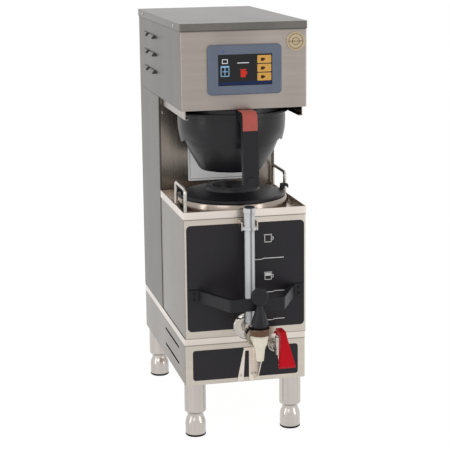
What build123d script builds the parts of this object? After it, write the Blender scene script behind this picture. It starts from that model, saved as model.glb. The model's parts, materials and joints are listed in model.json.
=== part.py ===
from build123d import *
import math
import os

# Satellite coffee brewer, in millimetres. Front faces -Y, +Z is up.
# Pieces are drawn with the hood's front face at y = 0, then moved as one so that the
# origin is the middle of the footprint on the floor.

# Cabinet sizes
BODY_WIDTH = 226.0
BODY_DEPTH = 427.0
SHEET = 1.5
TRIM = 0.5
CLEARANCE = 0.3
PANEL_GAP = 0.1
LEG_HEIGHT = 103.0
BASE_SETBACK = 7.0
BASE_HEIGHT = 89.0
BASE_LIP = 13.7
BAY_HEIGHT = 414.0
BAY_DEPTH = 226.6
HOOD_HEIGHT = 150.3
HOOD_SKIRT = 6.0
CORNER_RADIUS = 3.0
COVER_OVERHANG = 1.5
COVER_SKIRT = 13.4
COVER_SHEET = 1.2
COLUMN_FLANGE = 4.0
COLUMN_RECESS = 3.4

# Places that follow from the cabinet sizes
HALF_BODY = BODY_WIDTH / 2
BASE_TOP = LEG_HEIGHT + BASE_HEIGHT
HOOD_BOTTOM = BASE_TOP + BAY_HEIGHT
HOOD_TOP = HOOD_BOTTOM + HOOD_HEIGHT
PAN_BOTTOM = HOOD_BOTTOM + HOOD_SKIRT
COLUMN_WALL_FRONT = BAY_DEPTH + COLUMN_RECESS
BASE_FRONT = BASE_SETBACK

# Base details
BASE_PANEL_WIDTH = 197.0
BASE_PANEL_BOTTOM = LEG_HEIGHT + 8.3
BASE_PANEL_HEIGHT = 56.7
PANEL_SHEET = 0.8
PANEL_RADIUS = 5.0
VENT_LENGTH = 136.0
VENT_HEIGHT = 4.5
VENT_START = 66.0
VENT_LOW = LEG_HEIGHT + 22.5
VENT_PITCH = 31.0

# Legs and feet
LEG_SPREAD = 90.3
LEG_FRONT_Y = 32.6
LEG_REAR_Y = 403.4
LEG_RADIUS = 20.0
LEG_CHAMFER = 4.5
LEG_END = 43.5
FOOT_RADIUS = 18.9
FOOT_NECK = 14.5
FOOT_STEM = 8.0
FOOT_STEM_TOP = LEG_HEIGHT - 13.0
RUNNING_GAP = 0.08

# Louvres on the hood's sides
LOUVRE_LENGTH = 46.0
LOUVRE_RADIUS = 7.0
LOUVRE_COLUMNS = (271.0, 341.0)
LOUVRE_ROWS = (646.0, 679.0, 712.0)

# Touch display and badge on the hood's front
BEZEL_WIDTH = 132.0
BEZEL_HEIGHT = 87.0
BEZEL_CENTRE_Z = 676.0
BEZEL_DEPTH = 8.0
BEZEL_RADIUS = 7.0
BEZEL_EDGE = 3.0
SCREEN_WIDTH = 97.0
SCREEN_HEIGHT = 54.5
SCREEN_RECESS = 1.6
SCREEN_SHEET = 1.2
LED_RADIUS = 1.7
LED_X = -39.5
LED_Z = 709.0
BADGE_X = 93.2
BADGE_Z = 722.3
BADGE_RADIUS = 16.8
BADGE_SHEET = 1.5

# Brew cone, its rails and the spray head
CONE_Y = 105.0
CONE_RADIUS = 98.6
CONE_TOP = HOOD_BOTTOM - 2.5
CONE_BOTTOM = 485.0
CONE_WALL = 3.0
FLANGE_REACH = 5.4
FLANGE_SHEET = 3.5
RAIL_BOTTOM = 590.0
RAIL_INNER = 99.6
RAIL_OUTER = 106.5
RAIL_START = 4.0
RAIL_SHEET = 1.5
SPRAY_RADIUS = 34.0
HANDLE_WIDTH = 28.0
HANDLE_BOTTOM = 472.0
HANDLE_CORNER = 6.0
PLUG_RISE = 12.0
PLUG_RADIUS = 8.0

# Satellite
SAT_DEPTH = 225.0
SAT_HEIGHT = 234.0
SAT_LIP = 14.0
DECK_RECESS = 12.0
SAT_PANEL_WIDTH = 217.0
SAT_PANEL_BOTTOM = 206.2
SAT_PANEL_HEIGHT = 195.3
SAT_PANEL_RADIUS = 8.0
SAT_BOTTOM = BASE_TOP + CLEARANCE
SAT_TOP = BASE_TOP + SAT_HEIGHT
SAT_DECK = SAT_TOP - DECK_RECESS
LINER_RADIUS = 92.0
LINER_WALL = 1.2
LINER_BOTTOM = 206.0
RING_RADIUS = 101.0
RING_HEIGHT = 18.3
LID_RADIUS = 96.0
LID_HOLE = 37.0
LID_COLLAR = 48.0
LID_COLLAR_TOP = 453.0
HOOK_WIDTH = 9.0

# Bails on the satellite's deck
BAIL_X = 108.0
BAIL_ROD = 3.1
BAIL_TOP = 466.0
BAIL_BEND = 9.0
BAIL_SPAN = 86.0
BAIL_LEFT_START = 5.0
BAIL_RIGHT_START = 131.0

# Carry handle on the satellite's front
STRAP_HEIGHT = 22.0
STRAP_BOTTOM = 262.0
STRAP_FOOT_OUT = 107.0
STRAP_FOOT_IN = 86.0
STRAP_FRONT = 88.0
STRAP_HALF = 45.0
STRAP_THICK = 7.0
STRAP_FOOT_THICK = 4.5
STRAP_SCREW_X = 97.0

# Sight gauge
GAUGE_Y = -30.0
GAUGE_RADIUS = 9.0
GAUGE_WALL = 1.4
GAUGE_NUT_BOTTOM = 249.0
GAUGE_NUT_TOP = 271.0
GAUGE_CAP_BOTTOM = 396.0
GAUGE_CAP_TOP = 435.0
GAUGE_CAP_RADIUS = 11.0

# Satellite faucet
FAUCET_Y = -100.0
SHANK_Z = 211.0
SHANK_RADIUS = 9.0
SHANK_FLANGE = 24.5
BONNET_RADIUS = 18.4
BONNET_BOTTOM = 223.0
BONNET_TOP = 235.0
LEVER_PIVOT_Z = 238.0
LEVER_BALL = 12.0
LEVER_SKIRT = 15.0
LEVER_HEAD_Z = 291.0
LEVER_HEAD_RADIUS = 15.5
LEVER_HEAD_THICK = 10.0
SPOUT_BOTTOM = 175.5

# Hot-water faucet on the base
TAP_X = 53.0
TAP_Y = -34.0
TAP_SHANK_Z = 169.5
TAP_SHANK_RADIUS = 7.0
TAP_BODY_RADIUS = 9.0
TAP_BODY_TOP = 200.0
TAP_LEVER_TOP = 210.5
TAP_LEVER_BOTTOM = 153.0
TAP_LEVER_WIDE = 15.0
TAP_LEVER_NARROW = 5.5
TAP_PIN = 2.2
TAP_PIVOT_BACK = 5.0
TAP_PIVOT_RISE = 3.0

# Faucet guard on the base's front
GUARD_RIGHT = 15.8
GUARD_LEFT = -17.0
GUARD_REACH = 52.0

# Rear connections
INLET_X = 62.0
GLAND_X = -62.0
CONNECTION_Z = 150.0
INLET_REACH = 18.0

FRONT_REACH = -FAUCET_Y + BONNET_RADIUS
REAR_REACH = BODY_DEPTH + INLET_REACH
TO_ORIGIN = -(REAR_REACH - FRONT_REACH) / 2


def block(x0, x1, y0, y1, z0, z1):
    """A plain block between two corners."""
    centre = ((x0 + x1) / 2, (y0 + y1) / 2, (z0 + z1) / 2)
    return Pos(*centre) * Box(x1 - x0, y1 - y0, z1 - z0)


def rounded_block(x0, x1, y0, y1, z0, z1, radius):
    """A block whose upright corners are rounded."""
    outline = RectangleRounded(x1 - x0, y1 - y0, radius)
    return Pos((x0 + x1) / 2, (y0 + y1) / 2, z0) * extrude(outline, z1 - z0)


def front_plate(x0, x1, z0, z1, y_front, y_back, radius):
    """A plate that faces forward, with rounded corners."""
    outline = RectangleRounded(x1 - x0, z1 - z0, radius)
    turned_plate = Rot(90, 0, 0) * extrude(outline, y_back - y_front)
    return Pos((x0 + x1) / 2, y_back, (z0 + z1) / 2) * turned_plate


def upright(radius, x, y, z0, z1):
    """A vertical cylinder."""
    return Pos(x, y, (z0 + z1) / 2) * Cylinder(radius, z1 - z0)


def along_y(radius, x, z, y0, y1):
    """A cylinder that runs front to back."""
    return Pos(x, (y0 + y1) / 2, z) * Rot(90, 0, 0) * Cylinder(radius, y1 - y0)


def along_x(radius, y, z, x0, x1):
    """A cylinder that runs side to side."""
    return Pos((x0 + x1) / 2, y, z) * Rot(0, 90, 0) * Cylinder(radius, x1 - x0)


def turned(points, x, y):
    """A solid of revolution about an upright axis, from radius and height pairs."""
    outline = Polyline(*[(r, 0, z) for r, z in points], close=True)
    return Pos(x, y, 0) * revolve(make_face(outline), Axis.Z)


def side_profile(points, x0, x1):
    """A shape drawn in the side view as y and z pairs, as thick as x0 to x1."""
    outline = Polyline(*[(0, y, z) for y, z in points], close=True)
    return Pos(x0, 0, 0) * extrude(make_face(outline), x1 - x0, dir=(1, 0, 0))


def front_profile(points, y0, y1):
    """A shape drawn in the front view as x and z pairs, as deep as y0 to y1."""
    outline = Polyline(*[(x, 0, z) for x, z in points], close=True)
    return Pos(0, y0, 0) * extrude(make_face(outline), y1 - y0, dir=(0, 1, 0))


def plan_profile(points, z0, z1):
    """A shape drawn in the plan view as x and y pairs, as tall as z0 to z1."""
    outline = Polyline(*[(x, y, 0) for x, y in points], close=True)
    return Pos(0, 0, z0) * extrude(make_face(outline), z1 - z0, dir=(0, 0, 1))


def dome_screw(radius, height, x, y, z, facing):
    """A screw head that stands on a wall; facing is -y, +y, -x or +x."""
    head = Pos(0, 0, height / 2) * Cylinder(radius, height)
    head = fillet(head.edges().sort_by(Axis.Z)[-1], height * 0.8)
    head = head - Pos(0, 0, height) * Box(radius * 1.1, height * 0.5, height)
    turns = {"-y": Rot(90, 0, 0), "+y": Rot(-90, 0, 0), "-x": Rot(0, -90, 0), "+x": Rot(0, 90, 0)}
    return Pos(x, y, z) * turns[facing] * head


def base_shell():
    """The base's folded box, with two vent slots in each side."""
    half = HALF_BODY - TRIM
    top = BASE_TOP - BASE_LIP
    outer = rounded_block(-half, half, BASE_FRONT, BODY_DEPTH - TRIM, LEG_HEIGHT, top, CORNER_RADIUS)
    inner = block(-half + SHEET, half - SHEET, BASE_FRONT + SHEET, BODY_DEPTH - TRIM - SHEET,
                  LEG_HEIGHT + SHEET, top + SHEET)
    shell = outer - inner
    for row in range(2):
        low = VENT_LOW + row * VENT_PITCH
        slot = block(-HALF_BODY, HALF_BODY, VENT_START, VENT_START + VENT_LENGTH, low, low + VENT_HEIGHT)
        shell = shell - slot
    shell = shell - along_y(TAP_SHANK_RADIUS + CLEARANCE, TAP_X, TAP_SHANK_Z,
                            BASE_FRONT - SHEET, BASE_FRONT + 2 * SHEET)
    return shell


def base_top():
    """The base's top tray, whose skirt shows as a lip round the base."""
    front = BASE_FRONT - TRIM
    outer = rounded_block(-HALF_BODY, HALF_BODY, front, BODY_DEPTH, BASE_TOP - BASE_LIP, BASE_TOP,
                          CORNER_RADIUS)
    inner = block(-HALF_BODY + SHEET, HALF_BODY - SHEET, front + SHEET, BODY_DEPTH - SHEET,
                  BASE_TOP - BASE_LIP - SHEET, BASE_TOP - SHEET)
    return outer - inner


def base_front_panel():
    """The black panel on the base's front."""
    half = BASE_PANEL_WIDTH / 2
    panel = front_plate(-half, half, BASE_PANEL_BOTTOM, BASE_PANEL_BOTTOM + BASE_PANEL_HEIGHT,
                        BASE_FRONT - PANEL_SHEET, BASE_FRONT, PANEL_RADIUS)
    return panel - along_y(TAP_SHANK_RADIUS + CLEARANCE, TAP_X, TAP_SHANK_Z,
                           BASE_FRONT - SHEET, BASE_FRONT + SHEET)


def faucet_guard():
    """The folded bracket under the satellite's faucet: two tabs and a side plate."""
    back = BASE_FRONT - PANEL_SHEET
    top = BASE_PANEL_BOTTOM + BASE_PANEL_HEIGHT
    bottom = LEG_HEIGHT + 2.0
    left_tab = front_profile([(GUARD_LEFT, bottom), (-5.0, bottom), (-1.0, top), (-3.5, top)],
                             back - SHEET, back)
    right_tab = block(5.5, GUARD_RIGHT, back - SHEET, back, bottom, top)
    bridge = block(-3.5, 6.5, back - SHEET, back, top - 6.0, top)
    plate = side_profile([(back, top), (-GUARD_REACH, top), (-GUARD_REACH, top - 9.0),
                          (-GUARD_REACH / 2, bottom + 16.0), (back, bottom)],
                         GUARD_RIGHT - SHEET, GUARD_RIGHT)
    return left_tab + right_tab + bridge + plate


def leg_places():
    """The four legs' places, with the names of their corners."""
    return {
        "front_left": (-LEG_SPREAD, LEG_FRONT_Y),
        "front_right": (LEG_SPREAD, LEG_FRONT_Y),
        "rear_left": (-LEG_SPREAD, LEG_REAR_Y),
        "rear_right": (LEG_SPREAD, LEG_REAR_Y),
    }


def leg_tubes():
    """Four leg tubes under the base, each bored for its foot's stem."""
    tubes = []
    bore = FOOT_STEM + RUNNING_GAP
    for x, y in leg_places().values():
        tubes.append(turned([(bore, LEG_END), (LEG_RADIUS - LEG_CHAMFER, LEG_END),
                             (LEG_RADIUS, LEG_END + LEG_CHAMFER), (LEG_RADIUS, LEG_HEIGHT),
                             (bore, LEG_HEIGHT)], x, y))
    return Compound(children=tubes)


def foot(x, y):
    """A bullet foot with its stem, which screws up into the leg."""
    neck_top = LEG_END - CLEARANCE
    return turned([(0, 0), (FOOT_RADIUS - 2.5, 0), (FOOT_RADIUS - 0.6, 2.0), (FOOT_RADIUS, 6.0),
                   (FOOT_RADIUS, 26.0), (FOOT_RADIUS - 1.2, 31.0), (FOOT_NECK, 38.5),
                   (FOOT_NECK, neck_top), (FOOT_STEM, neck_top), (FOOT_STEM, FOOT_STEM_TOP),
                   (0, FOOT_STEM_TOP)], x, y)


def column_shell():
    """The column's two side walls, each with a narrow flange at its front edge."""
    walls = []
    for side in (-1, 1):
        outer = side * HALF_BODY
        inner = side * (HALF_BODY - SHEET)
        lip = side * (HALF_BODY - COLUMN_FLANGE)
        wall = block(min(outer, inner), max(outer, inner), BAY_DEPTH, BODY_DEPTH - SHEET - PANEL_GAP,
                     BASE_TOP, HOOD_BOTTOM)
        flange = block(min(outer, lip), max(outer, lip), BAY_DEPTH, BAY_DEPTH + SHEET, BASE_TOP,
                       HOOD_BOTTOM)
        walls.append(wall + flange)
    return Compound(children=walls)


def column_front():
    """The wall at the back of the bay, behind the satellite and the cone."""
    half = HALF_BODY - SHEET
    return block(-half, half, COLUMN_WALL_FRONT, COLUMN_WALL_FRONT + SHEET, BASE_TOP, PAN_BOTTOM)


def rear_panel():
    """The back cover, with a field of vent slots."""
    half = HALF_BODY - TRIM
    panel = block(-half, half, BODY_DEPTH - SHEET, BODY_DEPTH, BASE_TOP, HOOD_TOP)
    for row in range(6):
        low = HOOD_BOTTOM + 25.0 + row * 14.0
        for side in (-1, 1):
            middle = side * 42.0
            panel = panel - block(middle - 30.0, middle + 30.0, BODY_DEPTH - 2 * SHEET,
                                  BODY_DEPTH + SHEET, low, low + 4.0)
    return panel


def louvre(side, y, z):
    """One pressed awning and the slot under it, on the side given by its sign."""
    wall = side * HALF_BODY
    y0 = y - LOUVRE_LENGTH / 2
    y1 = y + LOUVRE_LENGTH / 2
    full = Pos(wall, y, z) * Rot(90, 0, 0) * Cylinder(LOUVRE_RADIUS, LOUVRE_LENGTH)
    hollow = Pos(wall, y, z) * Rot(90, 0, 0) * Cylinder(LOUVRE_RADIUS - COVER_SHEET,
                                                        LOUVRE_LENGTH - 2 * COVER_SHEET)
    reach = side * (HALF_BODY + LOUVRE_RADIUS)
    outside = block(min(wall, reach), max(wall, reach), y0, y1, z, z + LOUVRE_RADIUS)
    awning = (full - hollow) & outside
    depth = side * (HALF_BODY - 2 * SHEET)
    slot = block(min(wall, depth), max(wall, depth), y0 + 2.0, y1 - 2.0, z + 0.5,
                 z + LOUVRE_RADIUS - 2.0)
    return awning, slot


def hood_shell():
    """The hood's side walls and the pan over the bay, with louvres in the sides."""
    left = block(-HALF_BODY, -HALF_BODY + SHEET, SHEET, BODY_DEPTH - SHEET, HOOD_BOTTOM, HOOD_TOP)
    right = block(HALF_BODY - SHEET, HALF_BODY, SHEET, BODY_DEPTH - SHEET, HOOD_BOTTOM, HOOD_TOP)
    inside = HALF_BODY - SHEET / 2
    pan = block(-inside, inside, SHEET, COLUMN_WALL_FRONT + 2 * SHEET, PAN_BOTTOM, PAN_BOTTOM + SHEET)
    shell = left + right + pan
    for y in LOUVRE_COLUMNS:
        for z in LOUVRE_ROWS:
            for side in (-1, 1):
                awning, slot = louvre(side, y, z)
                shell = shell - slot + awning
    return shell


def hood_front():
    """The hood's flat front, folded back at its sides and bottom edge."""
    face = rounded_block(-HALF_BODY, HALF_BODY, 0, 2 * CORNER_RADIUS, HOOD_BOTTOM, HOOD_TOP,
                         CORNER_RADIUS - TRIM)
    behind = block(-HALF_BODY - SHEET, HALF_BODY + SHEET, SHEET, 3 * CORNER_RADIUS,
                   HOOD_BOTTOM - SHEET, HOOD_TOP + SHEET)
    return face - behind


def top_cover():
    """The lid of the cabinet, a shallow pan turned over the hood."""
    half = HALF_BODY + COVER_OVERHANG
    top = HOOD_TOP + COVER_SHEET
    outer = rounded_block(-half, half, -COVER_OVERHANG, BODY_DEPTH + COVER_OVERHANG, top - COVER_SKIRT,
                          top, CORNER_RADIUS)
    inner_half = half - COVER_SHEET
    inner = block(-inner_half, inner_half, -COVER_OVERHANG + COVER_SHEET,
                  BODY_DEPTH + COVER_OVERHANG - COVER_SHEET, top - COVER_SKIRT - SHEET, HOOD_TOP)
    return outer - inner


def case_screws():
    """Screw heads of the cabinet: cover, back panel, column and faucet guard."""
    heads = []
    cover_x = HALF_BODY + COVER_OVERHANG
    cover_z = HOOD_TOP - 5.0
    for y in (54.0, BODY_DEPTH - 54.0):
        heads.append(dome_screw(3.2, 1.6, -cover_x, y, cover_z, "-x"))
        heads.append(dome_screw(3.2, 1.6, cover_x, y, cover_z, "+x"))
    for z in (BASE_TOP + 20.0, HOOD_BOTTOM - 40.0, HOOD_TOP - 45.0):
        for side in (-1, 1):
            heads.append(dome_screw(3.2, 1.6, side * (HALF_BODY - 10.0), BODY_DEPTH, z, "+y"))
    for side in (-1, 1):
        heads.append(dome_screw(3.0, 1.8, side * (HALF_BODY - 9.0), COLUMN_WALL_FRONT,
                                HOOD_BOTTOM - 32.0, "-y"))
    guard_front = BASE_FRONT - PANEL_SHEET - SHEET
    heads.append(dome_screw(2.8, 1.4, -10.0, guard_front, LEG_HEIGHT + 13.0, "-y"))
    heads.append(dome_screw(2.8, 1.4, 10.6, guard_front, LEG_HEIGHT + 15.5, "-y"))
    return Compound(children=heads)


def touch_bezel():
    """The raised surround of the touch display, rounded all round its front."""
    half_w = BEZEL_WIDTH / 2
    half_h = BEZEL_HEIGHT / 2
    bezel = front_plate(-half_w, half_w, BEZEL_CENTRE_Z - half_h, BEZEL_CENTRE_Z + half_h,
                        -BEZEL_DEPTH, 0, BEZEL_RADIUS)
    rim = bezel.edges().group_by(Axis.Y)[0]
    bezel = fillet(rim, BEZEL_EDGE)
    window = front_plate(-SCREEN_WIDTH / 2, SCREEN_WIDTH / 2, BEZEL_CENTRE_Z - SCREEN_HEIGHT / 2,
                         BEZEL_CENTRE_Z + SCREEN_HEIGHT / 2, -BEZEL_DEPTH - 1,
                         -BEZEL_DEPTH + SCREEN_RECESS + SCREEN_SHEET, 1.0)
    lamp = along_y(LED_RADIUS, LED_X, LED_Z, -BEZEL_DEPTH - 1, -BEZEL_DEPTH + 2 * SCREEN_RECESS)
    return bezel - window - lamp


def touch_screen():
    """The glass of the touch display, set into its surround."""
    front = -BEZEL_DEPTH + SCREEN_RECESS
    return front_plate(-SCREEN_WIDTH / 2, SCREEN_WIDTH / 2, BEZEL_CENTRE_Z - SCREEN_HEIGHT / 2,
                       BEZEL_CENTRE_Z + SCREEN_HEIGHT / 2, front, front + SCREEN_SHEET, 1.0)


def status_lamp():
    """The small lamp above the display's glass."""
    return along_y(LED_RADIUS, LED_X, LED_Z, -BEZEL_DEPTH - 0.4, -BEZEL_DEPTH + 2 * SCREEN_RECESS)


def badge():
    """A plain round badge with a raised rim."""
    disc = along_y(BADGE_RADIUS, BADGE_X, BADGE_Z, -BADGE_SHEET, 0)
    dish = along_y(BADGE_RADIUS - 1.6, BADGE_X, BADGE_Z, -BADGE_SHEET - 1, -BADGE_SHEET + 0.5)
    return disc - dish


def instruction_card():
    """The plain card on the wall behind the cone."""
    return front_plate(-57.0, 57.0, 440.0, 560.0, COLUMN_WALL_FRONT - 0.6, COLUMN_WALL_FRONT, 2.0)


def rail(side):
    """One of the two folded rails that carry the brew cone's flange."""
    inner = side * RAIL_INNER
    outer = side * RAIL_OUTER
    web = side * (RAIL_OUTER - RAIL_SHEET)
    foot_in = side * (RAIL_OUTER - 6.0)
    end = COLUMN_WALL_FRONT
    shelf = block(min(inner, outer), max(inner, outer), RAIL_START, end, RAIL_BOTTOM,
                  RAIL_BOTTOM + RAIL_SHEET)
    wall = block(min(web, outer), max(web, outer), RAIL_START, end, RAIL_BOTTOM, PAN_BOTTOM)
    top = block(min(foot_in, outer), max(foot_in, outer), RAIL_START, end, PAN_BOTTOM - RAIL_SHEET,
                PAN_BOTTOM)
    return shelf + wall + top


def spray_head():
    """The spray head over the cone, with its ring of holes."""
    head = turned([(0, HOOD_BOTTOM), (SPRAY_RADIUS - 3, HOOD_BOTTOM), (SPRAY_RADIUS, HOOD_BOTTOM + 2),
                   (SPRAY_RADIUS, PAN_BOTTOM), (0, PAN_BOTTOM)], 0, CONE_Y)
    for ring_radius, count in ((10.0, 6), (22.0, 12)):
        for place in PolarLocations(ring_radius, count):
            head = head - Pos(0, CONE_Y, HOOD_BOTTOM) * place * Cylinder(1.2, 6.0)
    return head


def brew_tube():
    """The tube from the tank's outlet valve to the spray head, inside the hood."""
    top = PAN_BOTTOM + 30.0
    start = Vector(0, CONE_Y, PAN_BOTTOM + SHEET)
    corner = Vector(0, CONE_Y, top)
    end = Vector(0, TANK_Y, top)
    drop = Vector(0, TANK_Y, VALVE_TOP)
    path = FilletPolyline(start, corner, end, drop, radius=12.0)
    return sweep(Plane(origin=start, z_dir=(0, 0, 1)) * Circle(5.0), path=path)


TANK_Y = 330.0
TANK_HALF = 75.0
TANK_BOTTOM = BASE_TOP + 20.0
TANK_TOP = HOOD_BOTTOM - 30.0
VALVE_TOP = TANK_TOP + 46.0


def water_tank():
    """The heated tank in the column, on feet over the base."""
    outer = rounded_block(-TANK_HALF, TANK_HALF, TANK_Y - TANK_HALF, TANK_Y + TANK_HALF, TANK_BOTTOM,
                          TANK_TOP, 12.0)
    inner = rounded_block(-TANK_HALF + SHEET, TANK_HALF - SHEET, TANK_Y - TANK_HALF + SHEET,
                          TANK_Y + TANK_HALF - SHEET, TANK_BOTTOM + SHEET, TANK_TOP + SHEET, 10.5)
    feet = block(-TANK_HALF + 8, -TANK_HALF + 20, TANK_Y - 50, TANK_Y + 50, BASE_TOP, TANK_BOTTOM)
    feet = feet + block(TANK_HALF - 20, TANK_HALF - 8, TANK_Y - 50, TANK_Y + 50, BASE_TOP, TANK_BOTTOM)
    return outer - inner + feet


def tank_lid():
    """The plate bolted over the tank."""
    reach = TANK_HALF + 6.0
    return rounded_block(-reach, reach, TANK_Y - reach, TANK_Y + reach, TANK_TOP, TANK_TOP + 3.0, 12.0)


def heating_element():
    """The looped heating element that hangs from the tank's lid."""
    low = TANK_BOTTOM + 60.0
    path = FilletPolyline(Vector(-30, TANK_Y, TANK_TOP), Vector(-30, TANK_Y, low),
                          Vector(30, TANK_Y, low), Vector(30, TANK_Y, TANK_TOP), radius=25.0)
    return sweep(Plane(origin=(-30, TANK_Y, TANK_TOP), z_dir=(0, 0, -1)) * Circle(4.0), path=path)


def outlet_valve():
    """The solenoid valve on the tank's lid."""
    seat = TANK_TOP + 3.0
    body = upright(9.0, 0, TANK_Y, seat, seat + 14.0)
    coil = block(-14.0, 14.0, TANK_Y - 16.0, TANK_Y + 16.0, seat + 14.0, VALVE_TOP)
    return body + coil


def control_board():
    """The circuit board behind the display, on two standoffs."""
    board = block(-72.0, 72.0, 14.0, 15.6, PAN_BOTTOM + 20.0, HOOD_TOP - 22.0)
    for x in (-60.0, 60.0):
        board = board + along_y(3.0, x, BEZEL_CENTRE_Z, SHEET, 14.0)
    board = board + block(-40.0, -12.0, 15.6, 26.0, 660.0, 690.0)
    return board + block(10.0, 45.0, 15.6, 22.0, 650.0, 700.0)


def water_inlet():
    """The threaded water inlet on the back of the base."""
    y0 = BODY_DEPTH - TRIM
    nut = Pos(INLET_X, y0 + 4.0, CONNECTION_Z) * Rot(90, 0, 0) * extrude(RegularPolygon(11.0, 6), 8.0, both=True)
    nut = nut & block(INLET_X - 15, INLET_X + 15, y0, y0 + 8.0, CONNECTION_Z - 15, CONNECTION_Z + 15)
    spigot = along_y(8.0, INLET_X, CONNECTION_Z, y0 + 8.0, BODY_DEPTH + INLET_REACH)
    bore = along_y(5.0, INLET_X, CONNECTION_Z, y0 + 3.0, BODY_DEPTH + INLET_REACH + 1)
    return nut + spigot - bore


def cord_gland():
    """The gland for the supply cord on the back of the base."""
    y0 = BODY_DEPTH - TRIM
    outer = along_y(13.0, GLAND_X, CONNECTION_Z, y0, y0 + 6.0)
    outer = outer + along_y(9.0, GLAND_X, CONNECTION_Z, y0 + 6.0, y0 + 13.0)
    return outer - along_y(5.0, GLAND_X, CONNECTION_Z, y0 + 2.0, y0 + 14.0)


def cone_outer():
    """The outside of the brew cone: a round collar over a tapering funnel."""
    top = CONE_TOP
    shelf = RAIL_BOTTOM + RAIL_SHEET + CLEARANCE
    flange = CONE_RADIUS + FLANGE_REACH
    return [(CONE_RADIUS, top), (CONE_RADIUS, shelf + FLANGE_SHEET), (flange, shelf + FLANGE_SHEET),
            (flange, shelf), (CONE_RADIUS, shelf), (CONE_RADIUS - 0.2, shelf - 9),
            (CONE_RADIUS - 1.3, 571.0), (CONE_RADIUS - 4.4, 559.0), (CONE_RADIUS - 8.6, 547.5),
            (CONE_RADIUS - 10.6, 541.0), (CONE_RADIUS - 11.0, 538.0), (CONE_RADIUS - 14.0, 538.0),
            (CONE_RADIUS - 14.6, 533.0), (78.5, 520.0), (71.5, 507.0), (65.0, 496.0), (60.5, 488.0),
            (58.0, CONE_BOTTOM)]


def brew_cone():
    """The brew cone, open at the top, with a drain spout under it."""
    outside = cone_outer() + [(9.5, CONE_BOTTOM), (9.5, CONE_BOTTOM - 9), (7.0, CONE_BOTTOM - 9)]
    inside = [(7.0, CONE_BOTTOM + CONE_WALL), (55.0, CONE_BOTTOM + CONE_WALL), (57.6, 490.5),
              (62.2, 498.0), (68.6, 508.8), (75.6, 521.5), (81.0, 534.0), (84.5, 543.0),
              (87.4, 549.0), (91.4, 560.0), (94.2, 572.0), (CONE_RADIUS - CONE_WALL, 583.0),
              (CONE_RADIUS - CONE_WALL, CONE_TOP)]
    return turned(outside + inside, 0, CONE_Y)


HANDLE_FRONT_TOP = (-38.5, 599.0)
HANDLE_FRONT_LOW = (-47.0, HANDLE_BOTTOM + 6.0)


def cone_handle():
    """The cone's pull handle: an arm from the collar and a grip that hangs down."""
    grip = side_profile([(CONE_Y - CONE_RADIUS + 6, CONE_TOP - 0.5), (-31.0, HOOD_BOTTOM - 2.0),
                         HANDLE_FRONT_TOP, HANDLE_FRONT_LOW, (-44.0, HANDLE_BOTTOM),
                         (-39.0, HANDLE_BOTTOM), (-35.0, HANDLE_BOTTOM + 6.0), (-27.5, 577.0),
                         (-20.0, 586.0), (CONE_Y - CONE_RADIUS + 6, 586.0)],
                        -HANDLE_WIDTH / 2, HANDLE_WIDTH / 2)
    ends = grip.edges().filter_by(Axis.X).group_by(Axis.Z)[0]
    grip = fillet(ends, 1.5)
    half = HANDLE_WIDTH / 2
    grip = grip & front_plate(-half, half, HANDLE_BOTTOM, HOOD_BOTTOM + 2 * HANDLE_CORNER, -60.0,
                              CONE_Y, HANDLE_CORNER)
    flange = CONE_RADIUS + FLANGE_REACH
    collar = upright(flange, 0, CONE_Y, 580.0, HOOD_BOTTOM + 5.0)
    return grip - collar + handle_root()


def handle_root():
    """The part of the handle's arm that meets the collar above and below its flange."""
    shelf = RAIL_BOTTOM + RAIL_SHEET + CLEARANCE
    half = HANDLE_WIDTH / 2
    root = block(-half, half, CONE_Y - CONE_RADIUS - FLANGE_REACH - 2.0, CONE_Y - CONE_RADIUS + 6.0,
                 shelf + FLANGE_SHEET, CONE_TOP - 0.5)
    lower = block(-half, half, CONE_Y - CONE_RADIUS - FLANGE_REACH - 2.0, CONE_Y - CONE_RADIUS + 6.0,
                  586.0, shelf)
    body = upright(CONE_RADIUS, 0, CONE_Y, 580.0, HOOD_BOTTOM + 5.0)
    return root + lower - body


def handle_insert():
    """The coloured cap that wraps over the top of the handle."""
    insert = side_profile([(-4.0, HOOD_BOTTOM - 0.4), (-32.0, HOOD_BOTTOM - 0.4), (-40.2, 600.0),
                           (-42.0, 573.0), (-40.2, 572.5), HANDLE_FRONT_TOP,
                           (-31.0, HOOD_BOTTOM - 2.0), (-4.0, CONE_TOP - 0.9)],
                          -HANDLE_WIDTH / 2 + 0.8, HANDLE_WIDTH / 2 - 0.8)
    return insert - cone_handle()


def lean_angle():
    """How far the handle's front leans, in degrees."""
    rise = HANDLE_FRONT_TOP[1] - HANDLE_FRONT_LOW[1]
    return math.degrees(math.atan((HANDLE_FRONT_TOP[0] - HANDLE_FRONT_LOW[0]) / rise))


def handle_plug():
    """The round plug near the handle's lower end."""
    z = HANDLE_BOTTOM + PLUG_RISE
    share = (HANDLE_FRONT_TOP[1] - z) / (HANDLE_FRONT_TOP[1] - HANDLE_FRONT_LOW[1])
    y = HANDLE_FRONT_TOP[0] + share * (HANDLE_FRONT_LOW[0] - HANDLE_FRONT_TOP[0])
    disc = Rot(90 - lean_angle(), 0, 0) * extrude(Circle(PLUG_RADIUS), 1.2)
    return Pos(0, y, z) * disc


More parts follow.
